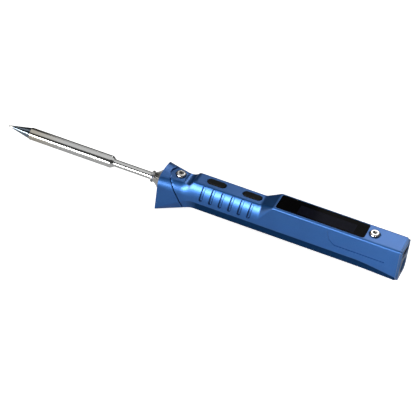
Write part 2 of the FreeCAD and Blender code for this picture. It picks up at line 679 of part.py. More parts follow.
def key_cap(x):
    """Key with a retaining lip under the roof and a plunger into its switch."""
    cap_top = KEY_TOP + KEY_PROUD
    cap = key_form(x, 0, (KEY_LIP_BOTTOM, cap_top))
    rim = [edge for edge in cap.Edges if edge.BoundBox.ZMin > cap_top - 1e-6]
    cap = cap.makeFillet(KEY_PROUD * 0.6, rim)
    lip = key_form(x, KEY_LIP, (KEY_LIP_BOTTOM, KEY_LIP_TOP))
    plunger = post(x, 0, PLUNGER_RADIUS, (SWITCH_TOP - PLUNGER_ENTRY, KEY_LIP_TOP))
    return cap.fuse([lip, plunger]).removeSplitter()


# ---------------------------------------------------------------- sockets and rear cap
def usb_height():
    return SCREEN_ROOF - USB_ROOF_GAP - USB_HEIGHT / 2


def usb_shell():
    start = CAP_END - USB_LENGTH
    outer = rounded_tube((start, CAP_END - CAP_CHAMFER), USB_WIDTH, USB_HEIGHT, usb_height())
    inner = rounded_tube((start - OVERRUN, CAP_END + OVERRUN), USB_WIDTH - 2 * USB_WALL,
                         USB_HEIGHT - 2 * USB_WALL, usb_height())
    return outer.cut(inner)


def usb_tongue():
    """Insulating block at the back of the socket with the contact tongue."""
    start = CAP_END - USB_LENGTH
    block = rounded_tube((start, start + USB_LENGTH / 4), USB_WIDTH - 2 * USB_WALL,
                         USB_HEIGHT - 2 * USB_WALL, usb_height())
    half = USB_TONGUE_THICKNESS / 2
    tongue = box((start, CAP_END - USB_TONGUE_RECESS), (-USB_TONGUE_WIDTH / 2, USB_TONGUE_WIDTH / 2),
                 (usb_height() - half, usb_height() + half))
    return block.fuse(tongue).removeSplitter()


def dc_body_range():
    return (PLUG_START - DC_BODY_LENGTH, PLUG_START)


def dc_contact_form(growth):
    """Flat side spring of the power socket, let into the wall of its bore."""
    start, end = dc_body_range()
    half = DC_CONTACT_WIDTH / 2 + growth
    inner = DC_RADIUS + RUNNING_GAP
    return box((start + DC_BASE, end - DC_BASE), (inner, inner + DC_CONTACT_THICKNESS + growth),
               (DC_AXIS_Z - half, DC_AXIS_Z + half))


def dc_jack_body():
    start, end = dc_body_range()
    body = rod(DC_BODY_RADIUS, (start, end), DC_AXIS_Z)
    bore = rod(DC_RADIUS, (start + DC_BASE, end + OVERRUN), DC_AXIS_Z)
    pin = rod(DC_PIN_RADIUS, (start, end), DC_AXIS_Z)
    relief = box((start + DC_BASE, end - DC_BASE), (0, DC_RADIUS + RUNNING_GAP),
                 (DC_AXIS_Z - DC_CONTACT_WIDTH / 2, DC_AXIS_Z + DC_CONTACT_WIDTH / 2))
    return body.cut([bore, pin, relief, dc_contact_form(0)])


def dc_center_pin():
    start, mouth = dc_body_range()
    end = mouth - DC_PIN_RECESS
    pin = rod(DC_PIN_RADIUS, (start, end), DC_AXIS_Z)
    rim = [edge for edge in pin.Edges if abs(edge.BoundBox.XMin - end) < 1e-6 and edge.Closed]
    return pin.makeFillet(DC_PIN_RADIUS / 2, rim)


def end_cap():
    """Rear plate over the shell's end, with a plug that enters the shell."""
    rear = screen_section(FACET_TOP - 2.3, 0.7)
    flange = loft([(SHELL_END, inset(rear, CAP_INSET)), (CAP_END - CAP_CHAMFER, inset(rear, CAP_INSET)),
                   (CAP_END, inset(rear, CAP_INSET + CAP_CHAMFER))])
    plug_section = inset(screen_section(), WALL + RUNNING_GAP)
    plug = loft([(PLUG_START, plug_section), (SHELL_END, plug_section)])
    usb = rounded_tube((PLUG_START - OVERRUN, CAP_END + OVERRUN), USB_WIDTH + RUNNING_GAP,
                       USB_HEIGHT + RUNNING_GAP, usb_height())
    power = rod(DC_RADIUS, (PLUG_START - OVERRUN, CAP_END + OVERRUN), DC_AXIS_Z)
    return flange.fuse(plug).cut([usb, power]).removeSplitter()


def ground_standoff():
    outer = post(GROUND_SCREW_X, 0, STANDOFF_RADIUS, (BOARD_TOP, SCREEN_ROOF))
    bore = post(GROUND_SCREW_X, 0, GROUND_SCREW_RADIUS + RUNNING_GAP, (BOARD_TOP - OVERRUN, SCREEN_TOP))
    return outer.cut(bore)


def all_pieces():
    form = handle_form()
    spans = contact_spans()
    ground_seat = SCREEN_TOP - GROUND_SEAT_DEPTH
    pieces = {
        "tip_bit": tip_bit(),
        "heater_barrel": heater_barrel(),
        "heater_core": heater_core(),
        "heater_winding": heater_winding(),
        "heater_lead": heater_lead(),
        "stem_tube": ring(spans["stem"]),
        "stem_insulators": Part.makeCompound([ring(spans["first"]), ring(spans["middle"])]),
        "contact_ring_front": ring(spans["front"]),
        "contact_ring_rear": ring(spans["rear"]),
        "stem_end_cap": rod(STEM_RADIUS, spans["cap"]),
        "front_guard": front_guard(form),
        "nose_cone": nose_cone(),
        "clamp_block": clamp_block(),
        "clamp_screw": cap_screw(CLAMP_X, CLAMP_HEAD_SEAT, CLAMP_SCREW_RADIUS, STEM_BORE),
        "main_shell": main_shell(form),
        "screen_window": screen_window(),
        "display_module": display_module(),
        "display_frame": display_frame(),
        "main_board": main_board(),
        "board_tray": board_tray(),
        "cartridge_guide": cartridge_guide(),
        "contact_spring_front": contact_spring(spans["front"]),
        "contact_spring_rear": contact_spring(spans["rear"]),
        "switch_front": switch_body(KEY_X[0]),
        "switch_rear": switch_body(KEY_X[1]),
        "key_front": key_cap(KEY_X[0]),
        "key_rear": key_cap(KEY_X[1]),
        "end_cap": end_cap(),
        "usb_shell": usb_shell(),
        "usb_tongue": usb_tongue(),
        "dc_jack_body": dc_jack_body(),
        "dc_center_pin": dc_center_pin(),
        "dc_side_contact": dc_contact_form(0),
        "ground_standoff": ground_standoff(),
        "ground_screw": cap_screw(GROUND_SCREW_X, ground_seat, GROUND_SCREW_RADIUS,
                                  ground_seat - GROUND_SCREW_LENGTH),
    }
    pieces.update(board_components())
    return pieces


def finish(name, shape):
    """Move a piece to the finished frame and write it."""
    placed = shape.copy()
    placed.translate(vec(EXPOSED_LENGTH - OVERALL_LENGTH / 2, 0, GUARD_DROP))
    placed.exportStep(os.path.join("parts", name + ".step"))


for piece_name, piece_shape in all_pieces().items():
    finish(piece_name, piece_shape)
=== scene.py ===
"""Pen soldering iron: finished pieces, materials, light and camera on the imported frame."""

import json
import math

import bpy
import bmesh
from mathutils import Matrix, Vector


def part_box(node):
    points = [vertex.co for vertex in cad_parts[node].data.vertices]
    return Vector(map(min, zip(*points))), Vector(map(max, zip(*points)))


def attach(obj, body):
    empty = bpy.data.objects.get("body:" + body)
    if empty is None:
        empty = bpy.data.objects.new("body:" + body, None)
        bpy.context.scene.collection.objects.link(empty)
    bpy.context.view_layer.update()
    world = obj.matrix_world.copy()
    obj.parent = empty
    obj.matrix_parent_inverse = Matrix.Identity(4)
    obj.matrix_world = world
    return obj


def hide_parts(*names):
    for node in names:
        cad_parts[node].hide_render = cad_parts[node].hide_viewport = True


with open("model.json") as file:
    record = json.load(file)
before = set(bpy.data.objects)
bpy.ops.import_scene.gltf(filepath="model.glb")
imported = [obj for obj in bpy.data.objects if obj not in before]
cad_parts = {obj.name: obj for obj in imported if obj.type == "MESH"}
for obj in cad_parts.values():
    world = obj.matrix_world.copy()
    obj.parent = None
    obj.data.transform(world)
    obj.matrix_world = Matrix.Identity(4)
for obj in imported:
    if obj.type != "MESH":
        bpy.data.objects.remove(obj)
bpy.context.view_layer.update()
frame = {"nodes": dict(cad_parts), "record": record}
nodes = frame["nodes"]

# ---------------------------------------------------------------- places and sizes
# All in mm, from the guard's front rim and the tool's axis.
MM = 0.001
RIM_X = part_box("front_guard")[0][0]
AXIS_Z = (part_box("heater_barrel")[0][2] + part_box("heater_barrel")[1][2]) / 2


def reach(node):
    """(x, y, z) ranges of a node in mm from the rim and the axis."""
    low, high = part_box(node)
    origin = (RIM_X, 0.0, AXIS_Z)
    return [((low[i] - origin[i]) / MM, (high[i] - origin[i]) / MM) for i in range(3)]


GUARD = reach("front_guard")
SHELL = reach("main_shell")
WINDOW = reach("screen_window")
CAP = reach("end_cap")
BIT = reach("tip_bit")
BARREL = reach("heater_barrel")
STEM = reach("stem_tube")
NOSE = reach("nose_cone")
USB = reach("usb_shell")
SOCKET = reach("dc_jack_body")
SHELL_END = SHELL[0][1]
CAP_END = CAP[0][1]
SCREEN_TOP = SHELL[2][1]
KEY_FACE = 7.7
WALL = 1.1
BARREL_RADIUS = BARREL[1][1]
STEM_RADIUS = STEM[1][1]
CLAMP_X = sum(reach("clamp_screw")[0]) / 2
GROUND_X = sum(reach("ground_screw")[0]) / 2
PAD_RADIUS = 4.35
PAD_TOP = 5.9
PAD_BASE = 2.9
SHANK_RADIUS = 3.3
BLOCK_X = (4.7, 9.7)
BLOCK_HALF = 2.9
VALLEY = (11.4, 8.1, 2.9)
SEAM = ((2.6, 8.4), (7.2, 1.2), (11.3, -6.6))
SEAM_GAP = 0.25
GRIP_COUNT = 6
GRIP_START = 19.1
GRIP_PITCH = 4.27
GRIP_RANGE = (0.9, 6.5)
GRIP_LEAN = 6.0
SLOT_LINE = 0.6
SLOT_LINE_HALF = 0.3
SIDE_LINE = [(74.0, 8.0), (75.4, 4.0), (77.7, 2.1), (99.5, 2.1)]
DISPLAY_X = (59.7, 84.2)
DISPLAY_Y = (-3.7, 2.0)
# half bottom, bottom, half width, facet, shoulder, half step, step, half top, top, crown
RIM = (6.8, GUARD[2][0], 7.5, GUARD[2][0] + 0.8, 1.35, 5.6, 5.95, 4.7, 6.45, 0.55)
WAIST = (4.62, -6.97, 5.45, -2.8, -0.2, 3.65, 4.95, 3.3, 5.35, 0.2)
PLATEAU = (4.0, -5.9, 5.6, -1.2, 0.6, 3.75, 7.2, 3.3, KEY_FACE, 0.0)
SCREEN = (4.0, -5.9, 5.6, -1.2, SCREEN_TOP - 0.7, 5.32, SCREEN_TOP - 0.175, 4.9, SCREEN_TOP, 0.0)
REAR = (4.7, -5.9, 5.6, -3.5, SCREEN_TOP - 0.7, 5.32, SCREEN_TOP - 0.175, 4.9, SCREEN_TOP, 0.0)
# station, section, how softly the form bends there
KNOTS = [(0.0, RIM, 0.0), (11.2, WAIST, 1.8), (14.4, PLATEAU, 1.4), (44.3, PLATEAU, 0.6),
         (50.0, SCREEN, 0.45), (SHELL_END - 15.0, SCREEN, 4.0), (SHELL_END, REAR, 0.0)]


def at(x, y, z):
    """A place given in mm from the rim and the axis, in the frame's metres."""
    return Vector((RIM_X + x * MM, y * MM, AXIS_Z + z * MM))


# ---------------------------------------------------------------- mesh helpers
def mesh_object(name, verts, faces):
    """New mesh piece in the scene."""
    mesh = bpy.data.meshes.new(name)
    mesh.from_pydata([tuple(v) for v in verts], [], faces)
    mesh.validate()
    thing = bpy.data.objects.new(name, mesh)
    bpy.context.scene.collection.objects.link(thing)
    return thing


def turn_outwards(thing):
    """Merges doubles and points every face outwards."""
    shape = bmesh.new()
    shape.from_mesh(thing.data)
    bmesh.ops.remove_doubles(shape, verts=shape.verts, dist=2e-7)
    bmesh.ops.recalc_face_normals(shape, faces=shape.faces)
    shape.to_mesh(thing.data)
    shape.free()
    return thing


def stacked(name, rings, closed=False):
    """Skin over rings of equal count: capped at both ends, or closed onto its first ring."""
    count = len(rings[0])
    verts = [v for ring in rings for v in ring]
    faces = []
    total = len(rings) if closed else len(rings) - 1
    for r in range(total):
        low, high = r * count, ((r + 1) % len(rings)) * count
        for i in range(count):
            j = (i + 1) % count
            faces.append((low + i, low + j, high + j, high + i))
    if not closed:
        faces.append(tuple(reversed(range(count))))
        faces.append(tuple(range((len(rings) - 1) * count, len(rings) * count)))
    return turn_outwards(mesh_object(name, verts, faces))


def turned(name, profile, sides=64, z=0.0, closed=False):
    """Lathe-turned piece along the tool from (x, radius) points."""
    rings = []
    for x, radius in profile:
        rings.append([at(x, radius * math.cos(2 * math.pi * i / sides),
                         z + radius * math.sin(2 * math.pi * i / sides)) for i in range(sides)])
    return stacked(name, rings, closed)


def post(name, x, y, radius, low, high, sides=64, flare=0.0):
    """Upright round cutter, opened out by flare at its top rim."""
    levels = [(low, radius), (high, radius)]
    if flare:
        levels = [(low, radius), (high - flare, radius), (high + flare, radius + 2 * flare)]
    rings = [[at(x + r * math.cos(2 * math.pi * i / sides), y + r * math.sin(2 * math.pi * i / sides), z)
              for i in range(sides)] for z, r in levels]
    return stacked(name, rings)


def crossbar(name, x, z, radius, half, sides=48):
    """Round cutter lying across the tool."""
    rings = [[at(x + radius * math.cos(2 * math.pi * i / sides), y,
                 z + radius * math.sin(2 * math.pi * i / sides)) for i in range(sides)]
             for y in (-half, half)]
    return stacked(name, rings)


def capsule(x, straight, radius, z, steps=14):
    """Round-ended outline in plan."""
    points = []
    for side in (1, -1):
        for i in range(steps + 1):
            angle = math.radians(-90 + 180 * i / steps) if side > 0 else math.radians(90 + 180 * i / steps)
            points.append(at(x + side * straight + radius * math.cos(angle), radius * math.sin(angle), z))
    return points


def rounded_plan(x_range, half, corner, z, steps=6):
    """Rounded rectangle in plan."""
    points = []
    low, high = x_range
    for cx, cy, start in ((high - corner, half - corner, 0), (low + corner, half - corner, 90),
                          (low + corner, corner - half, 180), (high - corner, corner - half, 270)):
        for i in range(steps + 1):
            angle = math.radians(start + 90 * i / steps)
            points.append(at(cx + corner * math.cos(angle), cy + corner * math.sin(angle), z))
    return points


def slot_outline(x, half, radius, z, steps=12):
    """Flattened round outline across the tool, as a USB-C mouth has."""
    points = []
    for side in (1, -1):
        for i in range(steps + 1):
            angle = math.radians(-90 + 180 * i / steps) if side > 0 else math.radians(90 + 180 * i / steps)
            points.append(at(x, side * (half - radius) + radius * math.cos(angle),
                             z + radius * math.sin(angle)))
    return points


def carve(thing, cutters, operation="DIFFERENCE"):
    """Applies boolean cutters one by one and clears them away."""
    for cutter in cutters:
        change = thing.modifiers.new("carve", "BOOLEAN")
        change.operation = operation
        change.solver = "MANIFOLD"
        change.object = cutter
        settle(thing)
        bpy.data.objects.remove(cutter)
    return thing


def settle(thing):
    """Turns a piece and its modifiers into one plain mesh."""
    bpy.context.view_layer.update()
    result = bpy.data.meshes.new_from_object(thing.evaluated_get(bpy.context.evaluated_depsgraph_get()))
    thing.modifiers.clear()
    old = thing.data
    thing.data = result
    result.name = thing.name
    bpy.data.meshes.remove(old)
    return thing


def soften(thing, width, segments=2):
    """Small rounded edges and even shading."""
    shape = bmesh.new()
    shape.from_mesh(thing.data)
    bmesh.ops.remove_doubles(shape, verts=shape.verts, dist=4e-6)
    bmesh.ops.dissolve_degenerate(shape, edges=shape.edges, dist=4e-6)
    bmesh.ops.dissolve_limit(shape, angle_limit=math.radians(0.4), verts=shape.verts, edges=shape.edges)
    shape.to_mesh(thing.data)
    shape.free()
    if width:
        edge = thing.modifiers.new("edge", "BEVEL")
        edge.limit_method = "ANGLE"
        edge.angle_limit = math.radians(38.0)
        edge.width = width * MM
        edge.segments = segments
        edge.use_clamp_overlap = True
        edge.miter_outer = "MITER_ARC"
        settle(thing)
    shade(thing)
    even = thing.modifiers.new("even", "WEIGHTED_NORMAL")
    even.keep_sharp = True
    even.weight = 80
    settle(thing)
    return thing


def shade(thing, angle=34.0):
    """Smooth shading, kept sharp across edges steeper than the angle."""
    for face in thing.data.polygons:
        face.use_smooth = True
    thing.data.set_sharp_from_angle(angle=math.radians(angle))


# ---------------------------------------------------------------- handle form
def section_at(x):
    """Section of the handle at a station, straight between knots and softly bent at them."""
    for i, (station, section, soft) in enumerate(KNOTS):
        if 0 < i < len(KNOTS) - 1 and abs(x - station) < soft:
            before, after = KNOTS[i - 1], KNOTS[i + 1]
            values = []
            for k in range(len(section)):
                slope_in = (section[k] - before[1][k]) / (station - before[0])
                slope_out = (after[1][k] - section[k]) / (after[0] - station)
                run = x - station + soft
                values.append(section[k] - slope_in * soft + slope_in * run
                              + (slope_out - slope_in) * run * run / (4 * soft))
            return tuple(values)
    for (x0, first, _), (x1, second, _) in zip(KNOTS, KNOTS[1:]):
        if x0 <= x <= x1:
            share = (x - x0) / (x1 - x0)
            return tuple(a + (b - a) * share for a, b in zip(first, second))
    return KNOTS[-1][1]


def drawn_in(section, amount):
    """The same section, smaller by a wall's thickness."""
    half_bottom, bottom, half_width, facet, shoulder, half_step, step, half_top, top, crown = section
    return (half_bottom - 0.72 * amount, bottom + amount, half_width - amount, facet + 0.33 * amount,
            shoulder - 0.9 * amount, half_step - 0.9 * amount, step - 0.9 * amount,
            half_top - 0.75 * amount, top - amount, crown)


def bend(a, corner, b, cut, steps):
    """Points round a corner that lies between a and b."""
    points = []
    ends = []
    for other in (a, b):
        away = (other[0] - corner[0], other[1] - corner[1])
        length = math.hypot(*away)
        share = min(cut, 0.42 * length) / length
        ends.append((corner[0] + away[0] * share, corner[1] + away[1] * share))
    for i in range(steps + 1):
        t = i / steps
        points.append(tuple((1 - t) ** 2 * ends[0][k] + 2 * t * (1 - t) * corner[k] + t * t * ends[1][k]
                            for k in (0, 1)))
    return points


def section_ring(x, section, edge=1.0):
    """Points of a whole section, from the middle of its underside, up one side and down the other."""
    half_bottom, bottom, half_width, facet, shoulder, half_step, step, half_top, top, crown = section
    knee = (half_width, shoulder + 0.55 * (step - shoulder))
    rise = []
    for i in range(1, 12):
        t = i / 12
        rise.append(tuple((1 - t) ** 2 * (half_width, shoulder)[k] + 2 * t * (1 - t) * knee[k]
                          + t * t * (half_step, step)[k] for k in (0, 1)))
    half = [(0.0, bottom), (half_bottom * 0.5, bottom)]
    half += bend((0, bottom), (half_bottom, bottom), (half_width, facet), 0.35 * edge, 3)
    half += bend((half_bottom, bottom), (half_width, facet), (half_width, shoulder), 0.4 * edge, 3)
    half += [(half_width, shoulder)] + rise
    half += bend(rise[-1], (half_step, step), (half_top, top), 0.14 * edge, 2)
    half += bend((half_step, step), (half_top, top), (half_top - 1, top), 0.16 * edge, 3)
    half += [(half_top * share, top + crown * (1 - share * share)) for share in (0.8, 0.6, 0.4, 0.2)]
    half.append((0.0, top + crown))
    ring = half + [(-y, z) for y, z in reversed(half[1:-1])]
    return [at(x, y, z) for y, z in ring]


def stations(start, end):
    """Stations along the handle: close together where it bends."""
    marks = {start, end}
    for station, _, soft in KNOTS:
        for i in range(-8, 9):
            marks.add(station + soft * i / 8)
    marks |= {start + (end - start) * i / 14 for i in range(15)}
    marks |= {1.5 * i for i in range(1, 7)}
    kept = [m for m in sorted(marks) if start <= m <= end]
    thinned = [kept[0]]
    for mark in kept[1:]:
        if mark - thinned[-1] > 0.06:
            thinned.append(mark)
    thinned[-1] = end
    return thinned


def seam_side(name, shift):
    """Everything in front of the joint line between guard and shell."""
    (ax, az), (bx, bz), (cx, cz) = SEAM
    a, b, c = ax * ax + az * az, bx * bx + bz * bz, cx * cx + cz * cz
    d = 2 * (ax * (bz - cz) + bx * (cz - az) + cx * (az - bz))
    ux = (a * (bz - cz) + b * (cz - az) + c * (az - bz)) / d
    uz = (a * (cx - bx) + b * (ax - cx) + c * (bx - ax)) / d
    radius = math.hypot(ax - ux, az - uz)
    start, end = math.atan2(az - uz, ax - ux), math.atan2(cz - uz, cx - ux)
    if end - start > math.pi:
        end -= 2 * math.pi
    if start - end > math.pi:
        end += 2 * math.pi
    line = [(2 * ax - bx, 2 * az - bz)]
    line += [(ux + radius * math.cos(start + (end - start) * i / 24),
              uz + radius * math.sin(start + (end - start) * i / 24)) for i in range(25)]
    line.append((2 * cx - bx, 2 * cz - bz))
    line += [(-15.0, line[-1][1]), (-15.0, line[0][1])]
    return stacked(name, [[at(x + shift, y, z) for x, z in line] for y in (-15.0, 15.0)])


def handle_blank(name):
    """Whole outside of guard and shell, before anything is cut."""
    return stacked(name, [section_ring(x, section_at(x)) for x in stations(0.0, SHELL_END)])


def growing_tree(name, inputs):
    """Geometry Nodes tree with a piece in and out, named inputs, and realised instances at its end."""
    tree = bpy.data.node_groups.new(name, "GeometryNodeTree")
    tree.interface.new_socket("Geometry", in_out="INPUT", socket_type="NodeSocketGeometry")
    for label, kind in (*inputs, ("Finish", "Material")):
        tree.interface.new_socket(label, in_out="INPUT", socket_type="NodeSocket" + kind)
    tree.interface.new_socket("Geometry", in_out="OUTPUT", socket_type="NodeSocketGeometry")
    make, link = tree.nodes.new, tree.links.new
    given, out = make("NodeGroupInput"), make("NodeGroupOutput")
    real, coat = make("GeometryNodeRealizeInstances"), make("GeometryNodeSetMaterial")
    link(real.outputs["Geometry"], coat.inputs["Geometry"])
    link(given.outputs["Finish"], coat.inputs["Material"])
    link(coat.outputs["Geometry"], out.inputs["Geometry"])
    return tree, given.outputs, real.inputs["Geometry"]


def slot_tree():
    """Copies a bar along a line, each turned by the same lean."""
    tree, given, end = growing_tree("slot_row", [
        ("Slots", "Int"), ("Pitch", "Vector"), ("First", "Vector"), ("Lean", "Vector")])
    link = tree.links.new
    line = tree.nodes.new("GeometryNodeMeshLine")
    spread = tree.nodes.new("GeometryNodeInstanceOnPoints")
    link(given["Slots"], line.inputs["Count"])
    link(given["First"], line.inputs["Start Location"])
    link(given["Pitch"], line.inputs["Offset"])
    link(line.outputs["Mesh"], spread.inputs["Points"])
    link(given["Geometry"], spread.inputs["Instance"])
    link(given["Lean"], spread.inputs["Rotation"])
    link(spread.outputs["Instances"], end)
    return tree


SLOT_ROW = slot_tree()


def grip_row(width):
    """Row of slanted round-ended bars across the handle."""
    middle, half = sum(GRIP_RANGE) / 2, (GRIP_RANGE[1] - GRIP_RANGE[0]) / 2
    rings = []
    for y in (-12.0, 12.0):
        ring = []
        for side, turn in ((1, 0), (-1, 180)):
            for i in range(9):
                angle = math.radians(turn + 180 * i / 8)
                ring.append(Vector((width / 2 * math.cos(angle), y,
                                    side * half + width / 2 * math.sin(angle))) * MM)
        rings.append(ring)
    return grow(stacked("grips", rings), SLOT_ROW, {
        "Slots": GRIP_COUNT, "Pitch": (GRIP_PITCH * MM, 0, 0), "First": at(GRIP_START, 0, middle),
        "Lean": (0, math.radians(GRIP_LEAN), 0)})


def grow(thing, tree, values):
    """Runs a Geometry Nodes tree on a piece with its inputs set by identifier, and keeps the plain mesh."""
    change = thing.modifiers.new("grow", "NODES")
    change.node_group = tree
    for item in tree.interface.items_tree:
        if item.in_out == "INPUT" and item.name in values:
            change[item.identifier] = values[item.name]
    settle(thing)
    return turn_outwards(thing)


# ---------------------------------------------------------------- materials
def group_tree(name, inputs, outputs):
    """Shader node group with its sockets, and its two ends."""
    tree = bpy.data.node_groups.new(name, "ShaderNodeTree")
    for label, kind, value in inputs:
        socket = tree.interface.new_socket(label, in_out="INPUT", socket_type=kind)
        if value is not None:
            socket.default_value = value
    for label, kind in outputs:
        tree.interface.new_socket(label, in_out="OUTPUT", socket_type=kind)
    return tree, tree.nodes.new("NodeGroupInput"), tree.nodes.new("NodeGroupOutput")


def math_node(tree, operation, a, b=None, clamp=False):
    """One step of arithmetic on sockets or numbers."""
    node = tree.nodes.new("ShaderNodeMath")
    node.operation = operation
    node.use_clamp = clamp
    for i, value in enumerate((a, b)):
        if value is None:
            continue
        if isinstance(value, (int, float)):
            node.inputs[i].default_value = value
        else:
            tree.links.new(value, node.inputs[i])
    return node.outputs[0]


def axes(tree, space="Object"):
    """X, Y and Z of a texture space as separate values."""
    place = tree.nodes.new("ShaderNodeTexCoord")
    split = tree.nodes.new("ShaderNodeSeparateXYZ")
    tree.links.new(place.outputs[space], split.inputs["Vector"])
    return split.outputs


def noise(tree, vector, scale, detail=2.0):
    """Noise over a vector; the scale is a number or a socket."""
    node = tree.nodes.new("ShaderNodeTexNoise")
    node.inputs["Detail"].default_value = detail
    tree.links.new(vector, node.inputs["Vector"])
    if isinstance(scale, (int, float)):
        node.inputs["Scale"].default_value = scale
    else:
        tree.links.new(scale, node.inputs["Scale"])
    return node.outputs["Fac"]


def grain_group():
    """Fine blasted grain with broad handling marks: a height, and a roughness."""
    tree, given, out = group_tree("blasted_grain", [
        ("Scale", "NodeSocketFloat", 3000.0), ("Roughness", "NodeSocketFloat", 0.35),
        ("Spread", "NodeSocketFloat", 0.08)],
        [("Height", "NodeSocketFloat"), ("Roughness", "NodeSocketFloat"), ("Marks", "NodeSocketFloat")])
    place = tree.nodes.new("ShaderNodeTexCoord").outputs["Object"]
    fine = noise(tree, place, given.outputs["Scale"])
    broad = noise(tree, place, 160.0, 5.0)
    tree.links.new(fine, out.inputs["Height"])
    swing = math_node(tree, "SUBTRACT", broad, 0.5)
    swing = math_node(tree, "MULTIPLY", swing, given.outputs["Spread"])
    speck = math_node(tree, "SUBTRACT", fine, 0.5)
    speck = math_node(tree, "MULTIPLY", speck, given.outputs["Spread"])
    total = math_node(tree, "ADD", swing, speck)
    rough = math_node(tree, "ADD", given.outputs["Roughness"], total, clamp=True)
    tree.links.new(rough, out.inputs["Roughness"])
    tree.links.new(broad, out.inputs["Marks"])
    return tree


def lathe_group():
    """Fine rings left by turning, with broad handling marks: a height, and a roughness."""
    tree, given, out = group_tree("turning_rings", [
        ("Rings", "NodeSocketFloat", 9000.0), ("Roughness", "NodeSocketFloat", 0.15),
        ("Spread", "NodeSocketFloat", 0.1)],
        [("Height", "NodeSocketFloat"), ("Roughness", "NodeSocketFloat"), ("Marks", "NodeSocketFloat")])
    along = tree.nodes.new("ShaderNodeCombineXYZ")
    tree.links.new(axes(tree)["X"], along.inputs["X"])
    rings = noise(tree, along.outputs["Vector"], given.outputs["Rings"], 3.0)
    broad = noise(tree, tree.nodes.new("ShaderNodeTexCoord").outputs["Object"], 260.0, 4.0)
    tree.links.new(rings, out.inputs["Height"])
    swing = math_node(tree, "SUBTRACT", broad, 0.4)
    swing = math_node(tree, "MULTIPLY", swing, given.outputs["Spread"])
    rough = math_node(tree, "ADD", given.outputs["Roughness"], swing, clamp=True)
    tree.links.new(rough, out.inputs["Roughness"])
    tree.links.new(broad, out.inputs["Marks"])
    return tree


def band_group():
    """Mask that rises from 0 to 1 along the tool between two places."""
    tree, given, out = group_tree("along_tool", [
        ("Start", "NodeSocketFloat", 0.0), ("End", "NodeSocketFloat", 1.0),
        ("Ragged", "NodeSocketFloat", 0.0)],
        [("Mask", "NodeSocketFloat")])
    waver = noise(tree, tree.nodes.new("ShaderNodeTexCoord").outputs["Object"], 500.0)
    stray = math_node(tree, "SUBTRACT", waver, 0.5)
    stray = math_node(tree, "MULTIPLY", stray, given.outputs["Ragged"])
    spot = math_node(tree, "ADD", axes(tree)["X"], stray)
    run = math_node(tree, "SUBTRACT", spot, given.outputs["Start"])
    length = math_node(tree, "SUBTRACT", given.outputs["End"], given.outputs["Start"])
    tree.links.new(math_node(tree, "DIVIDE", run, length, clamp=True), out.inputs["Mask"])
    return tree


GRAIN = grain_group()
LATHE = lathe_group()
ALONG = band_group()
SLOTS = {}


def blended(tree, share, first, second):
    """Colour that goes from first to second with a mask."""
    mix = tree.nodes.new("ShaderNodeMix")
    mix.data_type = "RGBA"
    for socket, value in ((mix.inputs["Factor"], share), (mix.inputs["A"], first), (mix.inputs["B"], second)):
        if isinstance(value, (int, float)):
            socket.default_value = value
        elif isinstance(value, (tuple, list)):
            socket.default_value = (*value, 1.0)
        else:
            tree.links.new(value, socket)
    return mix.outputs["Result"]


def band(tree, start, end, ragged):
    """Mask that rises between two places along the tool, in mm from the rim."""
    node = tree.nodes.new("ShaderNodeGroup")
    node.node_tree = ALONG
    for name, value in (("Start", RIM_X + start * MM), ("End", RIM_X + end * MM), ("Ragged", ragged * MM)):
        node.inputs[name].default_value = value
    return node.outputs["Mask"]


def recolour(material, mask, colour, inverse=False):
    """Blends a colour over a material's own colour where the mask is 1, or where it is 0."""
    tree = material.node_tree
    target = tree.nodes["Principled BSDF"].inputs["Base Color"]
    plain = target.links[0].from_socket
    first, second = (colour, plain) if inverse else (plain, colour)
    tree.links.new(blended(tree, mask, first, second), target)


def finish(name, colour, worn, metallic, rough, spread, texture=None, size=3000.0, depth=0.02,
           coat=0.0, coat_rough=0.1, strength=0.3, specular=0.5):
    """A material: colour that varies a little with handling, roughness and bump from a shared texture."""
    material = bpy.data.materials.new(name)
    material.use_nodes = True
    tree = material.node_tree
    shader = tree.nodes["Principled BSDF"]
    shader.inputs["Metallic"].default_value = metallic
    shader.inputs["Specular IOR Level"].default_value = specular
    shader.inputs["Coat Weight"].default_value = coat
    shader.inputs["Coat Roughness"].default_value = coat_rough
    surface = tree.nodes.new("ShaderNodeGroup")
    surface.name = "surface"
    surface.node_tree = texture or GRAIN
    surface.inputs[0].default_value = size
    surface.inputs[1].default_value = rough
    surface.inputs[2].default_value = spread
    tree.links.new(surface.outputs["Roughness"], shader.inputs["Roughness"])
    tree.links.new(blended(tree, surface.outputs["Marks"], colour, worn), shader.inputs["Base Color"])
    bump = tree.nodes.new("ShaderNodeBump")
    bump.name = "relief"
    bump.inputs["Strength"].default_value = strength
    bump.inputs["Distance"].default_value = depth * MM
    tree.links.new(surface.outputs["Height"], bump.inputs["Height"])
    tree.links.new(bump.outputs["Normal"], shader.inputs["Normal"])
    SLOTS[name] = material
    return material


BLUE = finish("blue_metal", (0.01, 0.108, 0.37), (0.015, 0.127, 0.42), 0.9, 0.36, 0.1, size=5200.0,
              depth=0.012, coat=0.9, coat_rough=0.3)
CAP_FINISH = finish("cap_metal", (0.045, 0.11, 0.27), (0.06, 0.14, 0.32), 0.8, 0.36, 0.1, size=4200.0,
                    depth=0.012, coat=0.4, coat_rough=0.3)
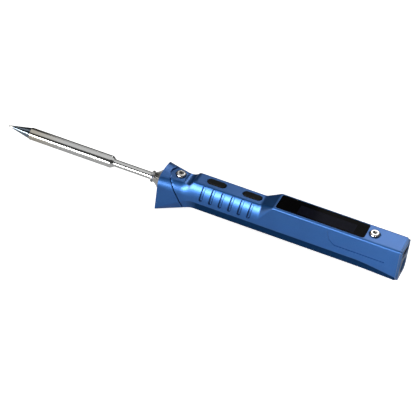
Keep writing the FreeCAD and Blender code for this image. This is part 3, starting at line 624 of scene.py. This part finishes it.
# the window's shine is turned down far below real glass, so that it stays dark
GLASS = finish("black_window", (0.0006, 0.0006, 0.0007), (0.001, 0.001, 0.0012), 0.0, 0.06, 0.05,
               size=900.0, depth=0.001, strength=0.05, specular=0.01)
RUBBER = finish("key_rubber", (0.0035, 0.004, 0.0046), (0.006, 0.0065, 0.0072), 0.0, 0.66, 0.14,
                size=2600.0, depth=0.03, specular=0.2)
CHROME = finish("polished_steel", (0.66, 0.67, 0.67), (0.74, 0.74, 0.73), 1.0, 0.12, 0.1, texture=LATHE,
                size=7000.0, depth=0.004)
IRON = finish("bit_iron", (0.16, 0.21, 0.26), (0.26, 0.31, 0.36), 1.0, 0.13, 0.12, texture=LATHE,
              size=6000.0, depth=0.005)
NOSE_STEEL = finish("nose_steel", (0.54, 0.54, 0.53), (0.66, 0.65, 0.63), 1.0, 0.24, 0.14, texture=LATHE,
                    size=5000.0, depth=0.02)
SCREW_STEEL = finish("screw_steel", (0.7, 0.69, 0.68), (0.8, 0.78, 0.76), 1.0, 0.16, 0.12, size=2600.0,
                     depth=0.006)
# materials of the carried-over nodes are found by their slots
finish("display_glass", (0.006, 0.006, 0.012), (0.009, 0.009, 0.016), 0.0, 0.2, 0.04)
finish("brass", (0.62, 0.42, 0.14), (0.7, 0.5, 0.2), 1.0, 0.3, 0.12)
finish("contact_metal", (0.72, 0.6, 0.36), (0.78, 0.68, 0.44), 1.0, 0.22, 0.1)
finish("copper", (0.72, 0.3, 0.14), (0.6, 0.22, 0.1), 1.0, 0.3, 0.12)
finish("resistance_wire", (0.22, 0.2, 0.18), (0.34, 0.3, 0.27), 0.9, 0.42, 0.12)
finish("ceramic", (0.74, 0.72, 0.67), (0.66, 0.63, 0.57), 0.0, 0.5, 0.12, size=1800.0)
finish("circuit_board", (0.01, 0.09, 0.04), (0.014, 0.13, 0.055), 0.0, 0.35, 0.1, size=700.0)
finish("black_plastic", (0.012, 0.012, 0.013), (0.022, 0.022, 0.024), 0.0, 0.48, 0.14, size=2400.0)
finish("chip_black", (0.014, 0.014, 0.016), (0.024, 0.024, 0.026), 0.0, 0.55, 0.1, size=1500.0)


def slanted_keys(material):
    """Adds the keys' fine slanted ribs to their relief."""
    tree = material.node_tree
    place = tree.nodes.new("ShaderNodeTexCoord")
    turn = tree.nodes.new("ShaderNodeMapping")
    turn.inputs["Rotation"].default_value = (0, 0, math.radians(52))
    rib = tree.nodes.new("ShaderNodeTexWave")
    rib.inputs["Scale"].default_value = 560.0
    rib.inputs["Distortion"].default_value = 0.3
    tree.links.new(place.outputs["Object"], turn.inputs["Vector"])
    tree.links.new(turn.outputs["Vector"], rib.inputs["Vector"])
    height = math_node(tree, "ADD", tree.nodes["surface"].outputs["Height"],
                       math_node(tree, "MULTIPLY", rib.outputs["Fac"], 2.2))
    tree.links.new(height, tree.nodes["relief"].inputs["Height"])


def tinned_point(material):
    """Bright tinned point that runs out into the dark plating of the bit."""
    mask = band(material.node_tree, BIT[0][0] + 1.6, BIT[0][0] + 2.6, 0.8)
    recolour(material, mask, (0.66, 0.65, 0.6), inverse=True)


def heat_tint(material):
    """Faint straw tint at the hot end of the barrel."""
    mask = band(material.node_tree, BARREL[0][0] + 2.0, BARREL[0][0] + 16.0, 4.0)
    recolour(material, mask, (0.6, 0.56, 0.48), inverse=True)


def paint_dark_reflection(material, dark):
    """Painted dark reflection: a darker, matt tone under the handle and on slopes that face forward.

    It stands in for dark surroundings that the metal would mirror; the real finish is the same all over.
    """
    tree = material.node_tree
    shader = tree.nodes["Principled BSDF"]
    facing = axes(tree, "Normal")
    below = math_node(tree, "MULTIPLY", math_node(tree, "ADD", facing["Z"], 0.1), -5.0, clamp=True)
    below = math_node(tree, "MULTIPLY", below, band(tree, 8.0, 17.0, 0.4))
    slope = math_node(tree, "MULTIPLY", math_node(tree, "ADD", facing["X"], 0.16), -4.0, clamp=True)
    slope = math_node(tree, "MULTIPLY", slope, band(tree, 6.0, 9.0, 0.4))
    dark_reflection_mask = math_node(tree, "MAXIMUM", below, math_node(tree, "MULTIPLY", slope, 0.8))
    recolour(material, dark_reflection_mask, dark)
    shine = math_node(tree, "SUBTRACT", 1.0, dark_reflection_mask)
    for name in ("Metallic", "Specular IOR Level", "Coat Weight"):
        target = shader.inputs[name]
        tree.links.new(math_node(tree, "MULTIPLY", shine, target.default_value), target)


def slot_edges(material, dark):
    """Thin dark lines along both edges of the grip slots, standing in for shading too fine for the light."""
    tree = material.node_tree
    shader = tree.nodes["Principled BSDF"]

    def work(operation, a, b=None):
        return math_node(tree, operation, a, b)

    spot = axes(tree)
    rise = work("SUBTRACT", spot["Z"], AXIS_Z + sum(GRIP_RANGE) / 2 * MM)
    along = work("SUBTRACT", spot["X"], RIM_X + GRIP_START * MM)
    along = work("SUBTRACT", along, work("MULTIPLY", rise, math.tan(math.radians(GRIP_LEAN))))
    along = work("DIVIDE", along, GRIP_PITCH * MM)
    nearest = work("MINIMUM", work("MAXIMUM", work("ROUND", along), 0.0), GRIP_COUNT - 1.0)
    away = work("MULTIPLY", work("ABSOLUTE", work("SUBTRACT", along, nearest)), GRIP_PITCH)
    past = work("SUBTRACT", work("DIVIDE", work("ABSOLUTE", rise), MM), (GRIP_RANGE[1] - GRIP_RANGE[0]) / 2)
    past = work("MAXIMUM", past, 0.0)
    distance = work("SQRT", work("ADD", work("MULTIPLY", away, away), work("MULTIPLY", past, past)))
    off = work("ABSOLUTE", work("SUBTRACT", distance, SLOT_LINE))
    line = math_node(tree, "SUBTRACT", 1.0, work("DIVIDE", off, SLOT_LINE_HALF), clamp=True)
    recolour(material, line, dark)
    for name in ("Specular IOR Level", "Coat Weight"):
        full = shader.inputs[name].links[0].from_socket
        tree.links.new(work("MULTIPLY", full, work("SUBTRACT", 1.0, line)), shader.inputs[name])


# painted dark reflection: darker, matt blue under the handle and on the forward slopes
paint_dark_reflection(BLUE, (0.004, 0.02, 0.06))
slot_edges(BLUE, (0.002, 0.007, 0.02))
slanted_keys(RUBBER)
tinned_point(IRON)
heat_tint(CHROME)


def coat_with(thing, material):
    """Gives a piece one material."""
    thing.data.materials.clear()
    thing.data.materials.append(material)


def finished(piece, body, material, slot, *replaced):
    """Gives a piece its finish, its body and the nodes that it stands for."""
    coat_with(piece, material)
    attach(piece, body)
    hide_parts(*replaced)
    return piece


# ---------------------------------------------------------------- shell and guard
def shell_hollow(name):
    """Inside of the shell, open at the rear."""
    waist = (4.0, -5.9) + WAIST[2:3] + (-1.2,) + WAIST[4:]
    runs = [(9.7, waist), (11.2, waist), (14.4 + WALL, PLATEAU), (44.3 + WALL, PLATEAU),
            (50.0 + WALL, SCREEN), (SHELL_END + 2.0, SCREEN)]
    return stacked(name, [section_ring(x, drawn_in(section, WALL), 0.5) for x, section in runs])


def window_stack(name, growth, corner, low, high, flare=0.0):
    """Rounded plate or cutter of the window's outline."""
    span, half = WINDOW[0], WINDOW[1][1]
    levels = [(low, growth), (high, growth)]
    if flare:
        levels = [(low, growth), (high - flare, growth), (high + flare, growth + 2 * flare)]
    return stacked(name, [rounded_plan((span[0] - g, span[1] + g), half + g, max(corner + g, 0.05), z)
                          for z, g in levels])


def key_stack(name, centre, levels):
    """Round-ended stack from (height, growth) levels round a key."""
    return stacked(name, [capsule(centre, 2.45, 1.65 + growth, z) for z, growth in levels])


def front_ways(stem_end):
    """Cutters for the nose's shank, the cartridge's stem and the clamp block."""
    block = [[at(x, y * BLOCK_HALF, z * BLOCK_HALF) for y, z in ((-1, -1), (1, -1), (1, 1), (-1, 1))]
             for x in BLOCK_X]
    return [turned("shank_way", [(-1.0, SHANK_RADIUS), (BLOCK_X[0], SHANK_RADIUS)]),
            turned("stem_way", [(-2.0, STEM_RADIUS + 0.05), (stem_end, STEM_RADIUS + 0.05)]),
            stacked("block_way", block)]


def valley():
    """Round cutter for the dip between the screw's pad and the keys."""
    return crossbar("valley", *VALLEY, 16.0)


KEYS = {name: sum(reach(name)[0]) / 2 for name in ("key_front", "key_rear")}
CLAMP_CUTS = [(PAD_RADIUS, PAD_TOP, 14.0), (2.5, 5.4, 14.0), (1.35, 0.0, 14.0)]


def build_guard():
    """Flared guard with its mouth and the ways through its floor."""
    guard = handle_blank("guard_skin")
    carve(guard, [seam_side("seam", -SEAM_GAP)], "INTERSECT")
    carve(guard, [post("pad_way", CLAMP_X, 0, PAD_RADIUS + 0.06, PAD_BASE, 14.0), valley()])
    rings = ((-1.0, 1.2 - 2.2 * 1.0 / 3.2), (0.0, 1.2), (3.2, 3.4))
    cavity = stacked("cavity", [section_ring(x, drawn_in(RIM, wall)) for x, wall in rings])
    carve(guard, [cavity] + front_ways(16.0))
    return soften(guard, 0.35, segments=3)


def grip_floor(depth):
    """Core that leaves the grip slots an even depth below the shoulders."""
    points = [(p.y / MM, (p.z - AXIS_Z) / MM) for p in section_ring(0.0, PLATEAU)]
    side = [p for p in points if p[0] > 2.0 and -1.0 < p[1] < 7.15]
    inner = []
    for i, (y, z) in enumerate(side):
        a, b = side[max(i - 1, 0)], side[min(i + 1, len(side) - 1)]
        run = math.hypot(b[0] - a[0], b[1] - a[1])
        inner.append((y - depth * (b[1] - a[1]) / run, z + depth * (b[0] - a[0]) / run))
    inner = [(inner[0][0], -3.0)] + inner + [(inner[-1][0] - 0.4, 9.0)]
    outline = inner + [(-y, z) for y, z in reversed(inner)]
    return stacked("grip_core", [[at(x, y, z) for y, z in outline] for x in (12.0, 46.0)])


def build_shell():
    """Handle shell with pad, seats, key ways, grip slots and engraved lines."""
    shell = handle_blank("shell_skin")
    pad_core = post("pad_core", CLAMP_X, 0, PAD_RADIUS - 0.08, PAD_BASE, PAD_TOP)
    pad = carve(handle_blank("pad"), [pad_core], "INTERSECT")
    carve(shell, [seam_side("seam", SEAM_GAP)])
    carve(shell, [pad], "UNION")
    cuts = [post("clamp_way", CLAMP_X, 0, radius, low, high) for radius, low, high in CLAMP_CUTS]
    carve(shell, cuts + [valley(), shell_hollow("hollow")])
    carve(shell, front_ways(12.0))
    carve(shell, [window_stack("seat", 0.05, 1.0, SCREEN_TOP - 0.8, SCREEN_TOP + 1.0),
                  window_stack("view", -0.9, 0.7, SCREEN_TOP - 2.5, SCREEN_TOP)])
    for centre in KEYS.values():
        carve(shell, [key_stack("key_way", centre, [(KEY_FACE - 2.5, 0.16), (KEY_FACE - 0.14, 0.16),
                                                    (KEY_FACE + 0.14, 0.44)])])
    carve(shell, [post("ground_seat", GROUND_X, 0, 2.5, SCREEN_TOP - 0.5, SCREEN_TOP, flare=0.14),
                  post("ground_way", GROUND_X, 0, 1.1, SCREEN_TOP - 2.5, SCREEN_TOP + 1.0)])
    for width, depth in ((1.4, 0.14), (0.95, 0.75)):
        grips = grip_row(width)
        carve(grips, [grip_floor(depth)])
        carve(shell, [grips])
    carve(shell, side_lines())
    return soften(shell, 0.1)


def side_lines():
    """Thin engraved line on each side below the screen."""
    cutters = []
    for side in (-1, 1):
        rings = []
        for i, (x, z) in enumerate(SIDE_LINE):
            here = Vector((x, z))
            before = here - Vector(SIDE_LINE[i - 1]) if i else Vector(SIDE_LINE[1]) - here
            after = Vector(SIDE_LINE[i + 1]) - here if i < len(SIDE_LINE) - 1 else before
            square = before.normalized() + after.normalized()
            stretch = 0.2 * 2 / square.length_squared
            nx, nz = -square.y * stretch, square.x * stretch
            rings.append([at(x + nx, side * 5.35, z + nz), at(x + nx, side * 6.2, z + nz),
                          at(x - nx, side * 6.2, z - nz), at(x - nx, side * 5.35, z - nz)])
        cutters.append(stacked("line", rings))
    return cutters


finished(build_guard(), "handle", BLUE, "blue_metal", "front_guard")
finished(build_shell(), "handle", BLUE, "blue_metal", "main_shell")


# ---------------------------------------------------------------- keys, window and rear cap
for node, centre in KEYS.items():
    low, high = reach(node)[2]
    key = key_stack(node + "_cap", centre, [
        (6.1, 0.46), (6.48, 0.46), (6.5, 0.0), (high - 0.42, 0.0), (high - 0.3, -0.03), (high - 0.16, -0.1),
        (high - 0.06, -0.22), (high - 0.01, -0.42), (high, -0.7), (high - 0.02, -1.2)])
    plunger = post("plunger", centre, 0, 0.8, low, 6.2, sides=24)
    carve(key, [plunger], "UNION")
    shade(key, 50.0)
    finished(key, node, RUBBER, "key_rubber", node)

glass = window_stack("window_glass", 0.0, 0.95, WINDOW[2][0], WINDOW[2][1])
soften(glass, 0.12)
finished(glass, "handle", GLASS, "black_window", "screen_window")


def active_area(material):
    """Slightly lighter field of the display, seen through the dark glass."""
    tree = material.node_tree
    spot = axes(tree)
    inside = []
    for axis, (low, high), origin in (("X", DISPLAY_X, RIM_X), ("Y", DISPLAY_Y, 0.0)):
        off = math_node(tree, "SUBTRACT", spot[axis], origin + (low + high) / 2 * MM)
        inside.append(math_node(tree, "LESS_THAN", math_node(tree, "ABSOLUTE", off), (high - low) / 2 * MM))
    recolour(material, math_node(tree, "MULTIPLY", *inside), (0.006, 0.0065, 0.013))


active_area(GLASS)


def build_cap():
    """Rear cap with its plug and the two socket openings."""
    levels = ((SHELL_END, 0.35), (CAP_END - 0.3, 0.35), (CAP_END - 0.08, 0.44), (CAP_END, 0.65))
    cap = stacked("rear_cap", [section_ring(x, drawn_in(REAR, inset)) for x, inset in levels])
    plug = stacked("plug", [section_ring(x, drawn_in(SCREEN, WALL + 0.05), 0.5)
                            for x in (CAP[0][0], SHELL_END + 0.2)])
    carve(cap, [plug], "UNION")
    mouth = ((CAP[0][0] - 1, 0.0), (CAP_END - 0.2, 0.0), (CAP_END + 0.2, 0.4))
    usb_z, jack_z = sum(USB[2]) / 2, sum(SOCKET[2]) / 2
    usb_rings = [slot_outline(x, 4.495 + flare, 1.655 + flare, usb_z) for x, flare in mouth]
    carve(cap, [stacked("usb_way", usb_rings),
                turned("jack_way", [(x, 3.2 + flare) for x, flare in mouth], z=jack_z)])
    return soften(cap, 0.06)


finished(build_cap(), "handle", CAP_FINISH, "cap_metal", "end_cap")


# ---------------------------------------------------------------- turned steel
def tube(name, outer, inner_radius, start, end, sides=72):
    """Turned sleeve: outer profile and a straight bore."""
    profile = [(start, inner_radius)] + outer + [(end, inner_radius)]
    return turned(name, profile, sides, closed=True)


def build_bit():
    """Pointed bit with a rounded tip and a spigot into the barrel."""
    tip, base = BIT[0][0], BARREL[0][0]
    profile = [(tip, 0.002), (tip + 0.02, 0.12), (tip + 0.08, 0.21), (tip + 0.18, 0.27)]
    for i in range(1, 15):
        share = i / 15
        profile.append((tip + 0.18 + (base - tip - 0.18) * share,
                        0.27 + (BARREL_RADIUS - 0.22 - 0.27) * share))
    profile += [(base - 0.02, BARREL_RADIUS - 0.2), (base, BARREL_RADIUS - 0.3), (base, BARREL_RADIUS - 0.36),
                (BIT[0][1] - 0.1, BARREL_RADIUS - 0.36), (BIT[0][1], BARREL_RADIUS - 0.5)]
    bit = turned("soldering_bit", profile, 72)
    shade(bit)
    return bit


def build_barrel():
    """Barrel with a thin wall, necked down onto the stem."""
    start, end = BARREL[0]
    r = BARREL_RADIUS
    outer = [(start, r - 0.22), (start + 0.06, r - 0.1), (start + 0.2, r), (end - 1.3, r),
             (end - 1.12, r - 0.05), (end - 0.12, STEM_RADIUS + 0.42), (end, STEM_RADIUS + 0.34)]
    barrel = tube("barrel_sleeve", outer, STEM_RADIUS, start, end)
    bore = turned("bore", [(start - 1, r - 0.35), (end - 1.6, r - 0.35)], 72)
    carve(barrel, [bore])
    shade(barrel)
    return barrel


def build_stem():
    """Plain thin-walled stem."""
    start, end = STEM[0]
    outer = [(start, STEM_RADIUS - 0.04), (start + 0.05, STEM_RADIUS), (end - 0.05, STEM_RADIUS),
             (end, STEM_RADIUS - 0.04)]
    stem = tube("stem_sleeve", outer, STEM_RADIUS - 0.28, start, end)
    shade(stem)
    return stem


def build_nose():
    """Turned nose: rounded collar, a groove, a second bead and the hollow flare."""
    start, end = NOSE[0]
    bore = STEM_RADIUS + 0.05
    outer = [(start, 2.2), (start + 0.1, 2.4), (start + 0.25, 2.5), (start + 0.75, 2.5), (start + 0.9, 2.4),
             (start + 1.0, 2.15), (start + 1.15, 2.08), (start + 1.3, 2.12)]
    flare_start, flare_end = start + 1.3, -0.4
    for i in range(1, 13):
        share = i / 12
        outer.append((flare_start + share * (flare_end - flare_start), 2.12 + (5.2 - 2.12) * share ** 1.25))
    outer += [(-0.28, 5.28), (-0.1, 5.3), (0.0, 5.28), (0.08, 5.2), (0.1, 5.1), (0.1, 3.3), (end, 3.3)]
    nose = tube("nose_turning", outer, bore, start, end)
    shade(nose, 30.0)
    return nose


finished(build_bit(), "cartridge", IRON, "bit_iron", "tip_bit")
finished(build_barrel(), "cartridge", CHROME, "polished_steel", "heater_barrel")
finished(build_stem(), "cartridge", CHROME, "polished_steel", "stem_tube")
finished(build_nose(), "handle", NOSE_STEEL, "nose_steel", "nose_cone")


# ---------------------------------------------------------------- screws
def screw_tree():
    """Round-headed screw grown round its upright line, with a hexagon socket sunk in the head."""
    tree, given, end = growing_tree("socket_screw", [
        ("Sides", "Int"), ("Key Radius", "Float"), ("Key Depth", "Float"), ("Head Top", "Vector")])
    make, link = tree.nodes.new, tree.links.new
    line = make("GeometryNodeMeshToCurve")
    width = make("GeometryNodeInputNamedAttribute")
    width.data_type = "FLOAT"
    width.inputs["Name"].default_value = "reach"
    swell = make("GeometryNodeSetCurveRadius")
    circle = make("GeometryNodeCurvePrimitiveCircle")
    circle.inputs["Radius"].default_value = 1.0
    skin = make("GeometryNodeCurveToMesh")
    skin.inputs["Fill Caps"].default_value = True
    key = make("GeometryNodeMeshCylinder")
    key.inputs["Vertices"].default_value = 6
    key.inputs["Depth"].default_value = 2.0
    sink = make("GeometryNodeTransform")
    size = make("ShaderNodeCombineXYZ")
    size.inputs["X"].default_value = 1.0
    size.inputs["Y"].default_value = 1.0
    bite = make("GeometryNodeMeshBoolean")
    bite.operation = "DIFFERENCE"
    link(given["Geometry"], line.inputs["Mesh"])
    link(line.outputs["Curve"], swell.inputs["Curve"])
    link(width.outputs["Attribute"], swell.inputs["Radius"])
    link(given["Sides"], circle.inputs["Resolution"])
    link(swell.outputs["Curve"], skin.inputs["Curve"])
    link(circle.outputs["Curve"], skin.inputs["Profile Curve"])
    if "Scale" in skin.inputs:
        link(width.outputs["Attribute"], skin.inputs["Scale"])
    link(given["Key Radius"], key.inputs["Radius"])
    link(given["Key Depth"], size.inputs["Z"])
    link(key.outputs["Mesh"], sink.inputs["Geometry"])
    link(size.outputs["Vector"], sink.inputs["Scale"])
    link(given["Head Top"], sink.inputs["Translation"])
    link(skin.outputs["Mesh"], bite.inputs["Mesh 1"])
    link(sink.outputs["Geometry"], bite.inputs["Mesh 2"])
    link(bite.outputs["Mesh"], end)
    return tree


SCREW = screw_tree()


def build_screw(name, x, low, high, shank):
    """Line of stations with the radius at each, grown into a screw."""
    seat = high - 1.5
    steps = [(low, shank - 0.2), (low + 0.2, shank), (seat - 0.001, shank), (seat, 2.05), (seat + 0.08, 2.16),
             (seat + 0.18, 2.2), (seat + 0.75, 2.2)]
    for i in range(1, 7):
        angle = math.radians(15 * i)
        steps.append((seat + 0.75 + 0.75 * math.sin(angle), 2.2 - 0.75 * (1 - math.cos(angle))))
    mesh = bpy.data.meshes.new(name)
    mesh.from_pydata([tuple(at(x, 0, z)) for z, _ in steps], [(i, i + 1) for i in range(len(steps) - 1)], [])
    field = mesh.attributes.new("reach", "FLOAT", "POINT")
    for i, (_, radius) in enumerate(steps):
        field.data[i].value = radius * MM
    screw = bpy.data.objects.new(name, mesh)
    bpy.context.scene.collection.objects.link(screw)
    grow(screw, SCREW, {"Sides": 64, "Key Radius": 2.0 / math.sqrt(3) * MM, "Key Depth": 1.0 * MM,
                        "Head Top": at(x, 0, high), "Finish": SCREW_STEEL})
    return soften(screw, 0.05)


for node, shank in (("clamp_screw", 1.25), ("ground_screw", 1.0)):
    span = reach(node)
    screw = build_screw(node + "_turned", sum(span[0]) / 2, span[2][0], span[2][1], shank)
    finished(screw, node, SCREW_STEEL, "screw_steel", node)

# ---------------------------------------------------------------- carried-over nodes
for part in frame["record"]["subparts"]:
    coat_with(nodes[part["node"]], SLOTS[part["material_slot"]])
for node in ("stem_end_cap", "contact_ring_front", "contact_ring_rear", "stem_insulators", "usb_shell",
             "dc_center_pin", "dc_jack_body", "heater_winding"):
    shade(nodes[node], 40.0)

# ---------------------------------------------------------------- floor, light and camera
floor_finish = finish("pale_floor", (0.86, 0.86, 0.86), (0.88, 0.88, 0.88), 0.0, 0.75, 0.05, size=400.0)
contact = [Vector((RIM_X, 0, AXIS_Z + GUARD[2][0] * MM)), at(SHELL_END, 0, -5.9)]
lean = math.atan2(contact[1].z - contact[0].z, contact[1].x - contact[0].x)
corners = []
for x, y in ((-1, -1), (1, -1), (1, 1), (-1, 1)):
    spot = Vector((x * 2.5 * math.cos(lean), y * 2.5, x * 2.5 * math.sin(lean)))
    corners.append(contact[0] + spot + Vector((0, 0, -0.0002)))
floor = mesh_object("floor", corners, [(0, 1, 2, 3)])
coat_with(floor, floor_finish)
# the floor glows for the camera alone, so the ground looks evenly pale and its shadows are faint
lit = floor_finish.node_tree
lamp = lit.nodes["Principled BSDF"].inputs
lamp["Emission Color"].default_value = (0.85, 0.85, 0.85, 1.0)
lit.links.new(lit.nodes.new("ShaderNodeLightPath").outputs["Is Camera Ray"], lamp["Emission Strength"])


def softbox(name, aim, direction, distance, size, power, spread=180.0):
    """Rectangular light that faces a point from a direction."""
    light = bpy.data.lights.new(name, "AREA")
    light.shape = "RECTANGLE"
    light.size, light.size_y = size
    light.energy = power
    light.spread = math.radians(spread)
    lamp = bpy.data.objects.new(name, light)
    away = Vector(direction).normalized()
    facing = away.to_track_quat("Z", "Y").to_matrix().to_4x4()
    lamp.matrix_world = Matrix.Translation(Vector(aim) + away * distance) @ facing
    bpy.context.scene.collection.objects.link(lamp)


softbox("front_light", (0.03, 0.0, 0.01), (-0.38, -0.915, 0.125), 1.6, (1.5, 0.34), 29.0)
softbox("top_light", (0.0, 0.0, 0.01), (-0.05, 0.11, 0.98), 0.8, (1.7, 0.95), 3.3)
softbox("rear_light", (0.0, 0.0, 0.02), (0.0, 0.77, 0.64), 0.8, (0.2, 0.24), 0.5)
softbox("back_light", (-0.2, 0.0, 0.02), (0.0, 0.77, 0.64), 0.8, (0.22, 0.24), 0.1)
softbox("side_light", (0.105, -0.035, 0.0), (0.35, -0.5, 0.8), 0.35, (0.05, 0.05), 0.014, spread=24.0)

world = bpy.data.worlds.new("studio")
bpy.context.scene.world = world
world.use_nodes = True
room = world.node_tree
dim = room.nodes["Background"]
dim.inputs["Color"].default_value = (1.0, 1.0, 1.0, 1.0)
dim.inputs["Strength"].default_value = 0.05
pale = room.nodes.new("ShaderNodeBackground")
pale.inputs["Strength"].default_value = 1.0
seen = room.nodes.new("ShaderNodeLightPath")
either = room.nodes.new("ShaderNodeMixShader")
room.links.new(seen.outputs["Is Camera Ray"], either.inputs[0])
room.links.new(dim.outputs["Background"], either.inputs[1])
room.links.new(pale.outputs["Background"], either.inputs[2])
room.links.new(either.outputs["Shader"], room.nodes["World Output"].inputs["Surface"])

azimuth, elevation, roll = math.radians(17.961), math.radians(39.0), math.radians(7.918)
back = Vector((math.sin(azimuth) * math.cos(elevation), -math.cos(azimuth) * math.cos(elevation),
               math.sin(elevation)))
forward = -back
right = forward.cross(Vector((0, 0, 1))).normalized()
up = right.cross(forward)
level = [right, -up, forward]
across = math.cos(roll) * level[0] - math.sin(roll) * level[1]
down = math.sin(roll) * level[0] + math.cos(roll) * level[1]
pivot = at(20.0, 0.0, 2.0)
# where the pivot lies from the camera, in metres across, down and ahead
offset = (0.0001504, -0.0067134, 0.79299)
stand = pivot - (across * offset[0] + down * offset[1] + forward * offset[2])
lens = bpy.data.cameras.new("camera")
lens.sensor_width = 36.0
lens.sensor_fit = "HORIZONTAL"
lens.lens = 165.86
lens.clip_start = 0.01
lens.clip_end = 50.0
camera = bpy.data.objects.new("camera", lens)
camera.matrix_world = Matrix((
    (across.x, -down.x, -forward.x, stand.x), (across.y, -down.y, -forward.y, stand.y),
    (across.z, -down.z, -forward.z, stand.z), (0, 0, 0, 1)))
bpy.context.scene.collection.objects.link(camera)
bpy.context.scene.camera = camera
bpy.context.scene.view_settings.view_transform = "Standard"

bpy.context.view_layer.update()
